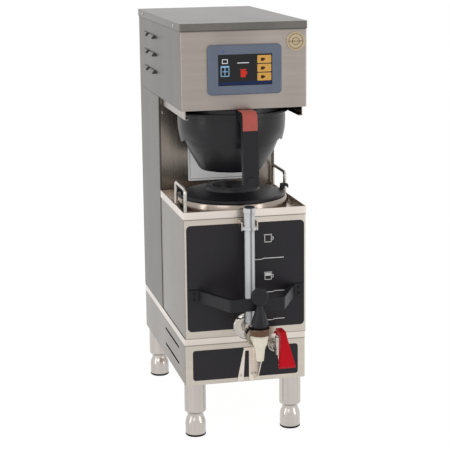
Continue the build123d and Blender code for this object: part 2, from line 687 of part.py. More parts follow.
def wire_basket():
    """The wire basket that holds the filter off the cone's wall."""
    wire = 1.4
    top_hoop = CONE_RADIUS - CONE_WALL - wire - CLEARANCE
    floor = CONE_BOTTOM + CONE_WALL + wire + CLEARANCE
    hoops = ((top_hoop, 592.0), (72.0, 524.0), (50.0, floor))
    basket = None
    for radius, z in hoops:
        hoop = Pos(0, CONE_Y, z) * Torus(radius, wire)
        basket = hoop if basket is None else basket + hoop
    for index in range(12):
        angle = math.radians(30.0 * index + 15.0)
        for (r0, z0), (r1, z1) in zip(hoops, hoops[1:]):
            a = Vector(r0 * math.cos(angle), CONE_Y + r0 * math.sin(angle), z0)
            b = Vector(r1 * math.cos(angle), CONE_Y + r1 * math.sin(angle), z1)
            basket = basket + sweep(Plane(origin=a, z_dir=b - a) * Circle(wire * 0.8), path=Line(a, b))
    return basket


def sat_shell():
    """The satellite's square case, open under its deck."""
    half = HALF_BODY - 2 * TRIM
    top = SAT_TOP - SAT_LIP
    outer = rounded_block(-half, half, 0, SAT_DEPTH, SAT_BOTTOM, top, CORNER_RADIUS)
    inner = block(-half + SHEET, half - SHEET, SHEET, SAT_DEPTH - SHEET, SAT_BOTTOM + SHEET, top + SHEET)
    return outer - inner - along_y(SHANK_RADIUS + CLEARANCE, 0, SHANK_Z, -SHEET, 2 * SHEET)


def sat_deck():
    """The satellite's deck, a tray whose upstanding rim shows as a lip round the case."""
    y0 = -TRIM
    y1 = SAT_DEPTH + TRIM
    outer = rounded_block(-HALF_BODY, HALF_BODY, y0, y1, SAT_TOP - SAT_LIP, SAT_TOP, CORNER_RADIUS)
    inner = block(-HALF_BODY + SHEET, HALF_BODY - SHEET, y0 + SHEET, y1 - SHEET, SAT_DECK, SAT_TOP + SHEET)
    mouth = upright(LINER_RADIUS, 0, CONE_Y, SAT_DECK - SAT_LIP, SAT_DECK + SAT_LIP)
    return outer - inner - mouth


def liner():
    """The satellite's inner vessel, hung from the deck by its flange."""
    r = LINER_RADIUS
    w = LINER_WALL
    return turned([(0, LINER_BOTTOM), (r - 14.0, LINER_BOTTOM), (r - 4.0, LINER_BOTTOM + 4.0),
                   (r, LINER_BOTTOM + 14.0), (r, SAT_DECK), (r + 7.0, SAT_DECK),
                   (r + 7.0, SAT_DECK + w), (r - w, SAT_DECK + w), (r - w, LINER_BOTTOM + 14.5),
                   (r - 4.8, LINER_BOTTOM + 5.2), (r - 14.2, LINER_BOTTOM + w), (0, LINER_BOTTOM + w)],
                  0, CONE_Y)


def rim_ring():
    """The polished ring round the vessel's mouth."""
    z0 = SAT_DECK + LINER_WALL
    z1 = z0 + RING_HEIGHT
    return turned([(LINER_RADIUS - LINER_WALL, z0), (RING_RADIUS, z0), (RING_RADIUS, z1 - 2.0),
                   (RING_RADIUS - 1.5, z1), (LINER_RADIUS - LINER_WALL, z1)], 0, CONE_Y)


def sat_lid():
    """The black lid, with a raised collar round its brew-through funnel."""
    seat = SAT_DECK + LINER_WALL + RING_HEIGHT + CLEARANCE
    plug = LINER_RADIUS - LINER_WALL - 1.0
    return turned([(LID_HOLE, LID_COLLAR_TOP), (LID_COLLAR - 1.0, LID_COLLAR_TOP),
                   (LID_COLLAR, LID_COLLAR_TOP - 1.5), (LID_COLLAR + 3.0, seat + 12.0),
                   (LID_RADIUS - 7.0, seat + 7.5), (LID_RADIUS, seat + 5.0), (LID_RADIUS, seat),
                   (plug, seat), (plug, seat - 9.0), (plug - 3.0, seat - 9.0), (plug - 3.0, seat - 0.5),
                   (LID_COLLAR - 2.0, seat + 4.0), (LID_HOLE - 4.0, seat - 9.0),
                   (LID_HOLE - 7.0, seat - 9.0)], 0, CONE_Y)


def lid_hooks():
    """Two hooks at the lid's sides, which catch the satellite's bails."""
    seat = SAT_DECK + LINER_WALL + RING_HEIGHT + CLEARANCE
    hooks = []
    y0 = CONE_Y - HOOK_WIDTH / 2
    root = LID_RADIUS - 4.0
    for side in (-1, 1):
        outline = [(root, seat + 6.5), (root + 5.5, seat + 3.0), (root + 5.5, seat + 11.0),
                   (root + 13.0, seat + 11.0), (root + 14.0, seat + 7.5), (root + 15.5, seat + 8.5),
                   (root + 14.5, seat + 15.0), (root + 9.0, seat + 17.0), (root + 1.0, seat + 16.0)]
        outline = [(side * x, z) for x, z in outline]
        hook = front_profile(outline, y0, y0 + HOOK_WIDTH)
        lid_cone = turned([(0, seat), (LID_RADIUS, seat), (LID_RADIUS, seat + 5.0),
                           (LID_RADIUS - 7.0, seat + 7.5), (LID_COLLAR + 3.0, seat + 12.0),
                           (0, seat + 12.0)], 0, CONE_Y)
        hooks.append(hook - lid_cone)
    return Compound(children=[solid for hook in hooks for solid in hook.solids()])


def bail(side, y_start):
    """A round-rod bail that stands on the deck by the case's side."""
    x = side * BAIL_X
    y_end = y_start + BAIL_SPAN
    top = BAIL_TOP
    start = Vector(x, y_start, SAT_DECK)
    path = FilletPolyline(start, Vector(x, y_start, top), Vector(x, y_end, top),
                          Vector(x, y_end, SAT_DECK), radius=BAIL_BEND)
    return sweep(Plane(origin=start, z_dir=(0, 0, 1)) * Circle(BAIL_ROD), path=path)


def bails():
    """The two bails, one on each side of the deck."""
    return Compound(children=[bail(-1, BAIL_LEFT_START), bail(1, BAIL_RIGHT_START)])


def sat_front_panel():
    """The black panel on the satellite's front."""
    half = SAT_PANEL_WIDTH / 2
    panel = front_plate(-half, half, SAT_PANEL_BOTTOM, SAT_PANEL_BOTTOM + SAT_PANEL_HEIGHT,
                        -PANEL_SHEET, 0, SAT_PANEL_RADIUS)
    return panel - along_y(SHANK_RADIUS + CLEARANCE, 0, SHANK_Z, -SHEET, SHEET)


def carry_handle():
    """The strap handle that stands forward of the panel: two feet, two arms, one bar."""
    back = -PANEL_SHEET
    foot_front = back - STRAP_FOOT_THICK
    slant = STRAP_THICK * 1.12
    outline = [(STRAP_FOOT_OUT, back), (STRAP_FOOT_OUT, foot_front), (STRAP_FOOT_IN + 4.0, foot_front),
               (STRAP_HALF + slant / 2, -STRAP_FRONT)]
    inner = [(STRAP_FOOT_IN - 4.0, back), (STRAP_HALF - slant / 2, -STRAP_FRONT + STRAP_THICK)]
    left = [(-x, y) for x, y in outline]
    points = outline + left[::-1] + [(-x, y) for x, y in inner] + inner[::-1]
    strap = plan_profile(points, STRAP_BOTTOM, STRAP_BOTTOM + STRAP_HEIGHT)
    corners = strap.edges().filter_by(Axis.Z).group_by(Axis.Y)[0]
    strap = fillet(corners, STRAP_THICK)
    return strap


def handle_screws():
    """Two screws in each foot of the carry handle."""
    front = -PANEL_SHEET - STRAP_FOOT_THICK
    heads = []
    for side in (-1, 1):
        for z in (STRAP_BOTTOM + 5.5, STRAP_BOTTOM + STRAP_HEIGHT - 5.5):
            heads.append(dome_screw(3.0, 1.5, side * STRAP_SCREW_X, front, z, "-y"))
    return Compound(children=heads)


def gauge_tube():
    """The clear guard tube of the sight gauge."""
    outer = upright(GAUGE_RADIUS, 0, GAUGE_Y, GAUGE_NUT_TOP, GAUGE_CAP_BOTTOM)
    return outer - upright(GAUGE_RADIUS - GAUGE_WALL, 0, GAUGE_Y, GAUGE_NUT_TOP - 1, GAUGE_CAP_BOTTOM + 1)


def gauge_cap():
    """The gauge's top fitting: a clear collar with a flange under it."""
    return turned([(0, GAUGE_CAP_BOTTOM), (13.5, GAUGE_CAP_BOTTOM), (13.5, GAUGE_CAP_BOTTOM + 4.5),
                   (GAUGE_RADIUS + 0.5, GAUGE_CAP_BOTTOM + 5.5), (GAUGE_RADIUS + 0.5, 425.0),
                   (GAUGE_CAP_RADIUS, 426.0), (GAUGE_CAP_RADIUS, GAUGE_CAP_TOP), (0, GAUGE_CAP_TOP)],
                  0, GAUGE_Y)


def gauge_plug():
    """The black plug on top of the gauge."""
    return upright(GAUGE_RADIUS, 0, GAUGE_Y, GAUGE_CAP_TOP, GAUGE_CAP_TOP + 2.5)


def gauge_bracket():
    """The bracket that holds the gauge's top fitting off the case."""
    low = GAUGE_CAP_BOTTOM - 2.0
    back = -PANEL_SHEET
    plate = block(-15.0, 15.0, back - SHEET, back, low, SAT_TOP - SAT_LIP - 1.0)
    arms = None
    for side in (-1, 1):
        x = side * 14.25
        arm = block(x - SHEET / 2, x + SHEET / 2, GAUGE_Y - 2.0, back - SHEET / 2, low, low + 16.0)
        arms = arm if arms is None else arms + arm
    return plate + arms


def gauge_nut():
    """The black nut at the gauge's foot."""
    nut = turned([(0, GAUGE_NUT_BOTTOM), (GAUGE_RADIUS + 1.2, GAUGE_NUT_BOTTOM),
                  (GAUGE_RADIUS + 0.8, GAUGE_NUT_BOTTOM + 4), (GAUGE_RADIUS - 1.0, GAUGE_NUT_TOP),
                  (0, GAUGE_NUT_TOP)], 0, GAUGE_Y)
    for place in PolarLocations(GAUGE_RADIUS + 2.6, 10):
        nut = nut - Pos(0, GAUGE_Y, (GAUGE_NUT_BOTTOM + GAUGE_NUT_TOP) / 2) * place * Cylinder(1.8, 40.0)
    return nut


def gauge_fitting():
    """The pale lower fitting between the gauge's nut and the shank."""
    return upright(GAUGE_RADIUS - 0.8, 0, GAUGE_Y, SHANK_Z + SHANK_RADIUS + 4.0, GAUGE_NUT_BOTTOM)


def shank():
    """The faucet's shank: a domed flange on the panel, a tee and a pipe to the body."""
    back = -PANEL_SHEET
    flange = turned([(0, 0), (SHANK_FLANGE, 0), (SHANK_FLANGE, 2.0), (SHANK_FLANGE - 3.0, 5.0),
                     (SHANK_FLANGE - 10.0, 8.0), (0, 9.0)], 0, 0)
    flange = Pos(0, back, SHANK_Z) * Rot(90, 0, 0) * flange
    pipe = along_y(SHANK_RADIUS, 0, SHANK_Z, FAUCET_Y + 12.0, 12.0)
    tee = upright(SHANK_RADIUS + 2.0, 0, GAUGE_Y, SHANK_Z - 12.0, SHANK_Z + SHANK_RADIUS + 4.0)
    return flange + pipe + tee


def shank_nut():
    """The big coupling nut between the shank and the faucet's body."""
    hexagon = Rot(90, 0, 0) * extrude(RegularPolygon(16.0, 6), 9.0, both=True)
    nut = Pos(0, -63.0, SHANK_Z) * hexagon
    ring = along_y(17.5, 0, SHANK_Z, -58.0, -52.0)
    return nut + ring - along_y(SHANK_RADIUS, 0, SHANK_Z, -90.0, -40.0)


def faucet_body():
    """The cream faucet body: a tapering barrel and a straight outlet, bored through."""
    barrel = turned([(4.5, BONNET_BOTTOM), (14.8, BONNET_BOTTOM), (14.4, 215.0), (13.0, 207.0),
                     (10.2, 200.0), (8.6, 195.0), (8.2, 190.0), (6.6, SPOUT_BOTTOM),
                     (4.5, SPOUT_BOTTOM)], 0, FAUCET_Y)
    boss = along_y(11.5, 0, SHANK_Z, FAUCET_Y, FAUCET_Y + 24.0)
    bore = upright(4.5, 0, FAUCET_Y, SPOUT_BOTTOM - 1, BONNET_BOTTOM + 1)
    return barrel + boss - bore - along_y(SHANK_RADIUS, 0, SHANK_Z, FAUCET_Y + 12.0, FAUCET_Y + 30.0)


def bonnet_ring():
    """The chrome ring nut that holds the lever's ball on the faucet."""
    seat = math.sqrt((LEVER_BALL + CLEARANCE) ** 2 - (LEVER_PIVOT_Z - BONNET_TOP) ** 2)
    return turned([(seat, BONNET_BOTTOM), (BONNET_RADIUS, BONNET_BOTTOM),
                   (BONNET_RADIUS, BONNET_TOP - 1.5), (BONNET_RADIUS - 1.5, BONNET_TOP),
                   (seat, BONNET_TOP)], 0, FAUCET_Y)


def faucet_lever():
    """The faucet's lever: a ball, a ribbed skirt, a neck and a round head."""
    ball = Pos(0, FAUCET_Y, LEVER_PIVOT_Z) * Sphere(LEVER_BALL)
    low = LEVER_PIVOT_Z + 3.0
    skirt = turned([(0, low), (LEVER_SKIRT, low), (LEVER_SKIRT - 0.6, low + 5), (9.5, low + 21),
                    (6.0, low + 32), (5.0, LEVER_HEAD_Z - 8), (0, LEVER_HEAD_Z - 8)], 0, FAUCET_Y)
    for place in PolarLocations(LEVER_SKIRT + 2.6, 8, start_angle=22.5):
        groove = Rot(0, -22, 0) * Cylinder(4.2, 60.0)
        skirt = skirt - Pos(0, FAUCET_Y, low + 20) * place * groove
    head = Rot(90, 0, 0) * Cylinder(LEVER_HEAD_RADIUS, LEVER_HEAD_THICK)
    head = fillet(head.edges(), LEVER_HEAD_THICK * 0.35)
    head = Pos(0, FAUCET_Y, LEVER_HEAD_Z) * Rot(-8, 0, 0) * head
    return ball + skirt + head


def tap_nut():
    """The tap's flange nut on the base's front."""
    front = BASE_FRONT - PANEL_SHEET
    ring = along_y(12.0, TAP_X, TAP_SHANK_Z, front - 3.0, front)
    hexagon = Rot(90, 0, 0) * extrude(RegularPolygon(11.0, 6), 4.0, both=True)
    nut = ring + Pos(TAP_X, front - 7.0, TAP_SHANK_Z) * hexagon
    lip = block(TAP_X - 20, TAP_X + 20, BASE_FRONT - TRIM - CLEARANCE, front + 1,
                BASE_TOP - BASE_LIP - CLEARANCE, BASE_TOP)
    return nut - along_y(TAP_SHANK_RADIUS, TAP_X, TAP_SHANK_Z, front - 20, front + 5) - lip


def tap_body():
    """The hot-water tap: shank, upright body and a bent spout."""
    pipe = along_y(TAP_SHANK_RADIUS, TAP_X, TAP_SHANK_Z, TAP_Y, BASE_FRONT + 12.0)
    barrel = upright(TAP_BODY_RADIUS, TAP_X, TAP_Y, TAP_SHANK_Z - 6, TAP_BODY_TOP - 4)
    neck = upright(TAP_BODY_RADIUS - 2, TAP_X, TAP_Y, TAP_BODY_TOP - 4, TAP_BODY_TOP)
    start = Vector(TAP_X, TAP_Y, TAP_SHANK_Z - 2)
    path = FilletPolyline(start, Vector(TAP_X, TAP_Y - 2, TAP_SHANK_Z - 12),
                          Vector(TAP_X, TAP_Y - 12, TAP_SHANK_Z - 22), radius=10.0)
    spout = sweep(Plane(origin=start, z_dir=path.tangent_at(0)) * Circle(5.5), path=path)
    return pipe + barrel + neck + spout + tap_nut()


def tap_lever():
    """The red tap lever: a cap over the body and a paddle that widens downward."""
    seat = TAP_BODY_TOP + CLEARANCE
    half = TAP_LEVER_WIDE
    side = side_profile([(TAP_Y + 6, seat + 3), (TAP_Y + 6, TAP_LEVER_TOP), (-56.0, TAP_LEVER_TOP + 1),
                         (-62.0, TAP_LEVER_TOP - 4), (-91.0, TAP_LEVER_BOTTOM + 5),
                         (-88.0, TAP_LEVER_BOTTOM), (-82.5, TAP_LEVER_BOTTOM), (-56.0, seat - 3),
                         (-50.0, seat + 0.5), (TAP_Y - 9.5, seat), (TAP_Y + 2, seat)],
                        TAP_X - half, TAP_X + half)
    front = front_profile([(TAP_X - TAP_LEVER_NARROW, TAP_LEVER_TOP + 5),
                           (TAP_X + TAP_LEVER_NARROW, TAP_LEVER_TOP + 5),
                           (TAP_X + TAP_LEVER_NARROW + 0.6, TAP_LEVER_TOP - 8),
                           (TAP_X + half, TAP_LEVER_BOTTOM - 1), (TAP_X - half, TAP_LEVER_BOTTOM - 1),
                           (TAP_X - TAP_LEVER_NARROW - 0.6, TAP_LEVER_TOP - 8)], -100.0, -20.0)
    pin = along_x(TAP_PIN, TAP_Y + TAP_PIVOT_BACK, TAP_BODY_TOP + TAP_PIVOT_RISE,
                  TAP_X - TAP_BODY_RADIUS, TAP_X + TAP_BODY_RADIUS)
    return (side & front) + pin


def build_nodes():
    """Every piece of the brewer under its node's name."""
    nodes = {
        "base_shell": base_shell(),
        "base_top": base_top(),
        "base_front_panel": base_front_panel(),
        "faucet_guard": faucet_guard(),
        "leg_tubes": leg_tubes(),
        "column_shell": column_shell(),
        "column_front": column_front(),
        "rear_panel": rear_panel(),
        "hood_shell": hood_shell(),
        "hood_front": hood_front(),
        "top_cover": top_cover(),
        "case_screws": case_screws(),
        "touch_bezel": touch_bezel(),
        "touch_screen": touch_screen(),
        "status_lamp": status_lamp(),
        "badge": badge(),
        "instruction_card": instruction_card(),
        "rail_left": rail(-1),
        "rail_right": rail(1),
        "spray_head": spray_head(),
        "brew_tube": brew_tube(),
        "water_tank": water_tank(),
        "tank_lid": tank_lid(),
        "heating_element": heating_element(),
        "outlet_valve": outlet_valve(),
        "control_board": control_board(),
        "water_inlet": water_inlet(),
        "cord_gland": cord_gland(),
        "brew_cone": brew_cone(),
        "cone_handle": cone_handle(),
        "handle_insert": handle_insert(),
        "handle_plug": handle_plug(),
        "wire_basket": wire_basket(),
        "sat_shell": sat_shell(),
        "sat_deck": sat_deck(),
        "liner": liner(),
        "rim_ring": rim_ring(),
        "sat_lid": sat_lid(),
        "lid_hooks": lid_hooks(),
        "bails": bails(),
        "sat_front_panel": sat_front_panel(),
        "carry_handle": carry_handle(),
        "handle_screws": handle_screws(),
        "gauge_tube": gauge_tube(),
        "gauge_cap": gauge_cap(),
        "gauge_plug": gauge_plug(),
        "gauge_bracket": gauge_bracket(),
        "gauge_nut": gauge_nut(),
        "gauge_fitting": gauge_fitting(),
        "shank": shank(),
        "shank_nut": shank_nut(),
        "faucet_body": faucet_body(),
        "bonnet_ring": bonnet_ring(),
        "faucet_lever": faucet_lever(),
        "tap_body": tap_body(),
        "tap_lever": tap_lever(),
    }
    return nodes


def main():
    os.makedirs("parts", exist_ok=True)
    nodes = build_nodes()
    for corner, (x, y) in leg_places().items():
        nodes["foot_" + corner] = foot(x, y)
    for name, shape in nodes.items():
        export_step(Pos(0, TO_ORIGIN, 0) * shape, "parts/" + name + ".step")


main()
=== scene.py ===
import bmesh
import bpy
import json
import math
from mathutils import Matrix, Vector


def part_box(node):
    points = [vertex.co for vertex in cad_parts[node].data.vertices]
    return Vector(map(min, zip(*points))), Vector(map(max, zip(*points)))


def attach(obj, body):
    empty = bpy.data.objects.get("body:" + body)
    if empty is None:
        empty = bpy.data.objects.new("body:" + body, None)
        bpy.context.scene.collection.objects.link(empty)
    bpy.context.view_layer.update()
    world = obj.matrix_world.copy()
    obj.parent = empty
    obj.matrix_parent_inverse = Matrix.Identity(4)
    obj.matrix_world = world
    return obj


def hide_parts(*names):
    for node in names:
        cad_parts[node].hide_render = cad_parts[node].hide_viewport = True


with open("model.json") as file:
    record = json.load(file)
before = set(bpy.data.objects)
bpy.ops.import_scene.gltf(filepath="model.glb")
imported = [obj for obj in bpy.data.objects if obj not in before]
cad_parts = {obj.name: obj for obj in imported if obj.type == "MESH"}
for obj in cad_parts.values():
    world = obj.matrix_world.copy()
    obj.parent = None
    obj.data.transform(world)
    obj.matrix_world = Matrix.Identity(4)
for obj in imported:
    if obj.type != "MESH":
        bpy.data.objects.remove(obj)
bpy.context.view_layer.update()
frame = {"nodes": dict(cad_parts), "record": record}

bl_info = {
    "name": "Satellite coffee brewer",
    "version": (1, 0, 0),
    "blender": (4, 5, 0),
    "location": "View3D > Sidebar > Brewer",
    "description": "Dresses the brewer's frame with skins, markings, finishes and a studio",
    "category": "Object",
}

NODES = frame["nodes"]
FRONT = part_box("hood_front")[0][1]
BODY_OF = {node: body for body, nodes in frame["record"]["behaviour"]["bodies"].items() for node in nodes}
MM = 0.001

# Smoothing of a piece: edges sharper than this many degrees stay sharp.
SHARP = 32.0
MERGE_DISTANCE = 1e-6
FLAT_ANGLE = 0.4
BEVEL_ANGLE = 40.0

# Brushed steel: how fine its scratches, how broad its soft bands, how dark its painted seam and flank shade.
SCRATCH_ACROSS, SCRATCH_ALONG = 260.0, 3.0
STREAK_COARSENESS = 0.35
BAND_ACROSS, BAND_ALONG = 5.5, 0.8
SEAM_SHADE_STRENGTH, SEAM_SHADE_TONE = 0.8, 0.10
FLANK_SHADE, FLANK_EDGE = 0.62, 0.0005

# Clear tube: where the painted shade down its middle runs, in metres from the middle.
PAINTED_CORE_OFFSET, PAINTED_CORE_INNER, PAINTED_CORE_OUTER = 0.0004, 0.0006, 0.0028

# Display marks: x, z, width, height and corner radius of each plate, in millimetres.
DISPLAY_MARKS = {
    "white": [(-3.5, 688.0, 21.0, 1.3, 0.3), (-36.0, 694.5, 10.0, 1.2, 0.3),
              (-40.6, 690.5, 1.2, 6.0, 0.3), (-31.5, 690.5, 1.2, 6.0, 0.3), (-36.0, 687.8, 10.0, 1.2, 0.3)],
    "blue": [(-36.0, 682.0, 15.0, 2.6, 0.4), (-43.0, 673.0, 1.2, 16.0, 0.3),
             (-29.0, 673.0, 1.2, 16.0, 0.3), (-36.0, 674.0, 1.2, 14.0, 0.3),
             (-36.0, 665.5, 15.0, 1.2, 0.3), (-36.0, 673.5, 9.0, 1.2, 0.3)],
    "red": [(-3.5, 669.0, 9.0, 12.0, 1.2), (2.4, 670.5, 2.2, 6.0, 0.8), (-3.5, 676.2, 11.0, 1.6, 0.5)],
    "gold": [(34.5, 693.5, 25.0, 13.6, 1.2), (34.5, 678.2, 25.0, 13.6, 1.2),
             (34.5, 662.9, 25.0, 13.6, 1.2)],
    "navy": [(0.0, 652.5, 94.0, 5.0, 0.3)],
}
CUP_HEIGHTS = (693.5, 678.2, 662.9)
CUP_X, CUP_DROP, CUP_SIZE, CUP_CORNER = 31.0, 0.4, 0.0056, 0.0010
CUP_GRIP_X, CUP_GRIP_WIDTH, CUP_GRIP_HEIGHT, CUP_GRIP_CORNER = 34.9, 0.0022, 0.0032, 0.0006

# Badge: its rings' radii, their half width and rise, and its face behind its rim, in metres.
BADGE_RINGS = (0.0128, 0.0062)
BADGE_LINE_HALF, BADGE_LINE_RISE, BADGE_FACE = 0.0005, 0.0004, 0.0006
BADGE_BAR_HALF, BADGE_BAR_WIDTH = 0.012, 0.0011

# Card: its border's distance from the edge and its width, in metres.
BORDER_INSET, BORDER_WIDTH = 0.0035, 0.0008

# Cone skirt: radius and height of its outline in millimetres, and the waves of its edge in metres.
SKIRT_OUTLINE = [(98.9, 584.0), (98.8, 572.0), (98.0, 560.0), (95.9, 549.5), (93.8, 542.5), (92.6, 538.5),
                 (89.9, 538.5), (90.3, 543.0), (92.0, 550.5), (94.4, 561.0), (95.8, 573.0), (96.6, 584.0)]
SKIRT_STEPS = 144
SKIRT_EDGE, SKIRT_REACH = 0.5425, 0.022
SKIRT_WAVES, SKIRT_TURN = 6.0, 0.9
SKIRT_WAVE_HEIGHT, SKIRT_DROP = 0.0085, 0.0030

# Satellite panel: left end, knee, right end and height of each level line, in millimetres.
LEVEL_LINES = [(11.0, 33.0, 70.0, 333.0), (28.0, 53.0, 71.0, 271.5), (30.0, 53.0, 71.0, 219.0)]
KNEE_RUN, KNEE_RISE = 4.0, 1.6
MUGS = ((377.0, 0.0), (307.5, 0.45))
MUG_X, MUG_HALF, MUG_HEIGHT, MUG_LINE = 41.0, 6.0, 12.5, 1.1
MUG_RIM_OVER, MUG_RIM_WIDTH, MUG_GRIP_REACH = 0.6, 2.0, 3.6

# Sight gauge: the inner glass's radii and its distance from the tube's ends, in millimetres.
GLASS_INNER, GLASS_OUTER, GLASS_INSET = 2.6, 4.4, 0.5

# Coupling nut: its sides, the share of them that are grooves, and its sizes in metres.
NUT_SIDES, NUT_PITCH, NUT_GROOVE = 96, 4, 2
NUT_SHRINK = 0.97
GROOVE_MARGIN, GROOVE_DEPTH, NUT_BORE = 0.0003, 0.0012, 0.0091

# Stage: floor, backdrop, lamps and camera.
FLOOR_RADIUS, FLOOR_DROP = 7.0, 0.0005
FLOOR_TONE, FLOOR_ROUGHNESS = 0.86, 0.9
FLOOR_GLOW, FLOOR_GLOW_SHARE = 1.06, 0.90
SKY_LIGHT, SKY_SEEN_EXTRA = 0.64, 0.36
LAMPS = [("key_light", (-1.6, -2.4, 2.3), 1.5, 1.5, 17.0), ("right_strip", (1.9, -1.9, 1.0), 0.25, 1.8, 9.0),
         ("left_strip", (-2.2, -0.6, 1.0), 0.25, 1.8, 7.0)]
LAMP_AIM = (0.0, 0.0, 0.4)
SENSOR_WIDTH = 36.0
FOCAL_PIXELS, PICTURE_PIXELS = 1443.9, 450.0
CAMERA_PLACE = (-591.5, -2451.6, 945.4)
CAMERA_YAW, CAMERA_PITCH, CAMERA_ROLL = -12.73, 12.245, 0.657


def at(x, y, z):
    """A point given in millimetres from the hood's front face, in the frame's metres."""
    return Vector((x * MM, FRONT + y * MM, z * MM))


def axis_of(node):
    """The x and y of a node's middle, in millimetres from the hood's front face."""
    low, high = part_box(node)
    return (low[0] + high[0]) / 2 / MM, ((low[1] + high[1]) / 2 - FRONT) / MM


def closed(points):
    """The pairs of neighbours round a closed outline."""
    return zip(points, points[1:] + points[:1])


def tint(red, green, blue):
    """A colour as it is read off a screen, from 0 to 255, as the linear colour that shaders use."""
    steps = [channel / 255.0 for channel in (red, green, blue)]
    return tuple(s / 12.92 if s <= 0.04045 else ((s + 0.055) / 1.055) ** 2.4 for s in steps)


class BrewerSizes(bpy.types.PropertyGroup):
    """Sizes of the dressing, in metres."""
    fold_radius: bpy.props.FloatProperty(
        name="Fold radius", description="Rounding of the sheet metal's folded edges",
        default=0.0007, min=0.0, max=0.003, unit="LENGTH")
    mould_radius: bpy.props.FloatProperty(
        name="Mould radius", description="Rounding of the moulded plastic's edges",
        default=0.0009, min=0.0, max=0.004, unit="LENGTH")
    print_height: bpy.props.FloatProperty(
        name="Print height", description="How far the printed marks stand off their panel",
        default=0.00025, min=0.0001, max=0.001, unit="LENGTH")
    line_width: bpy.props.FloatProperty(
        name="Line width", description="Width of the level lines on the satellite's panel",
        default=0.0016, min=0.0005, max=0.005, unit="LENGTH")
    pad_height: bpy.props.FloatProperty(
        name="Foot pad height", description="Height of the rubber pad round each foot's lower end",
        default=0.0042, min=0.001, max=0.01, unit="LENGTH")
    grain: bpy.props.FloatProperty(
        name="Brush strength", description="Strength of the brushed grain in the steel",
        default=1.0, min=0.0, max=3.0, subtype="FACTOR")


def colour_property(name, description, colour):
    """A colour that a user may change."""
    return bpy.props.FloatVectorProperty(name=name, description=description, subtype="COLOR", size=3,
                                         min=0.0, max=1.0, default=colour)


class BrewerColours(bpy.types.PropertyGroup):
    """Colours of the brewer's finishes."""
    # The side, cover and bay steels are darker copies of one brushed steel, as painted shade.
    steel_side_shaded: colour_property("Side steel", "Brushed steel of the cabinet's sides", tint(101, 97, 92))
    steel_front: colour_property("Front steel", "Brushed steel of the hood's front", tint(158, 149, 143))
    steel_light: colour_property("Light steel", "Brushed steel of the lips, deck and guard",
                                 tint(222, 212, 203))
    steel_case: colour_property("Case steel", "Brushed steel of the satellite's case and the base",
                                tint(202, 193, 182))
    steel_bay_shaded: colour_property("Bay steel", "Steel of the wall behind the cone", tint(150, 141, 132))
    steel_top_shaded: colour_property("Cover steel", "Brushed steel of the top cover", tint(115, 111, 107))
    steel_leg: colour_property("Leg steel", "Turned steel of the legs and feet", tint(196, 189, 183))
    panel: colour_property("Panel black", "The satin black of the front panels", tint(26, 23, 27))
    plastic: colour_property("Moulded black", "The black of the cone, lid and handles", tint(19, 19, 23))
    bezel: colour_property("Display surround", "The blue grey round the display", tint(98, 106, 122))
    screen: colour_property("Display glass", "The dark glass of the display", tint(14, 14, 17))
    lever: colour_property("Tap lever", "The red of the hot-water lever", tint(196, 4, 26))
    grip_cap: colour_property("Grip cap", "The coloured cap on the cone's handle", tint(172, 84, 74))
    faucet: colour_property("Faucet", "The pale plastic of the faucet's body", tint(232, 224, 206))
    card: colour_property("Card", "The plain card behind the cone", tint(250, 251, 254))
    print_white: colour_property("Print", "The pale printed marks", tint(228, 228, 226))


class Wire:
    """A socket in a material, so that shader maths reads as plain arithmetic."""

    def __init__(self, paint, socket):
        self.paint = paint
        self.socket = socket

    def __add__(self, other):
        return self.paint.maths("ADD", self, other)

    def __sub__(self, other):
        return self.paint.maths("SUBTRACT", self, other)

    def __rsub__(self, other):
        return self.paint.maths("SUBTRACT", other, self)

    def __mul__(self, other):
        return self.paint.maths("MULTIPLY", self, other)

    def __gt__(self, other):
        return self.paint.maths("GREATER_THAN", self, other)

    __radd__ = __add__
    __rmul__ = __mul__


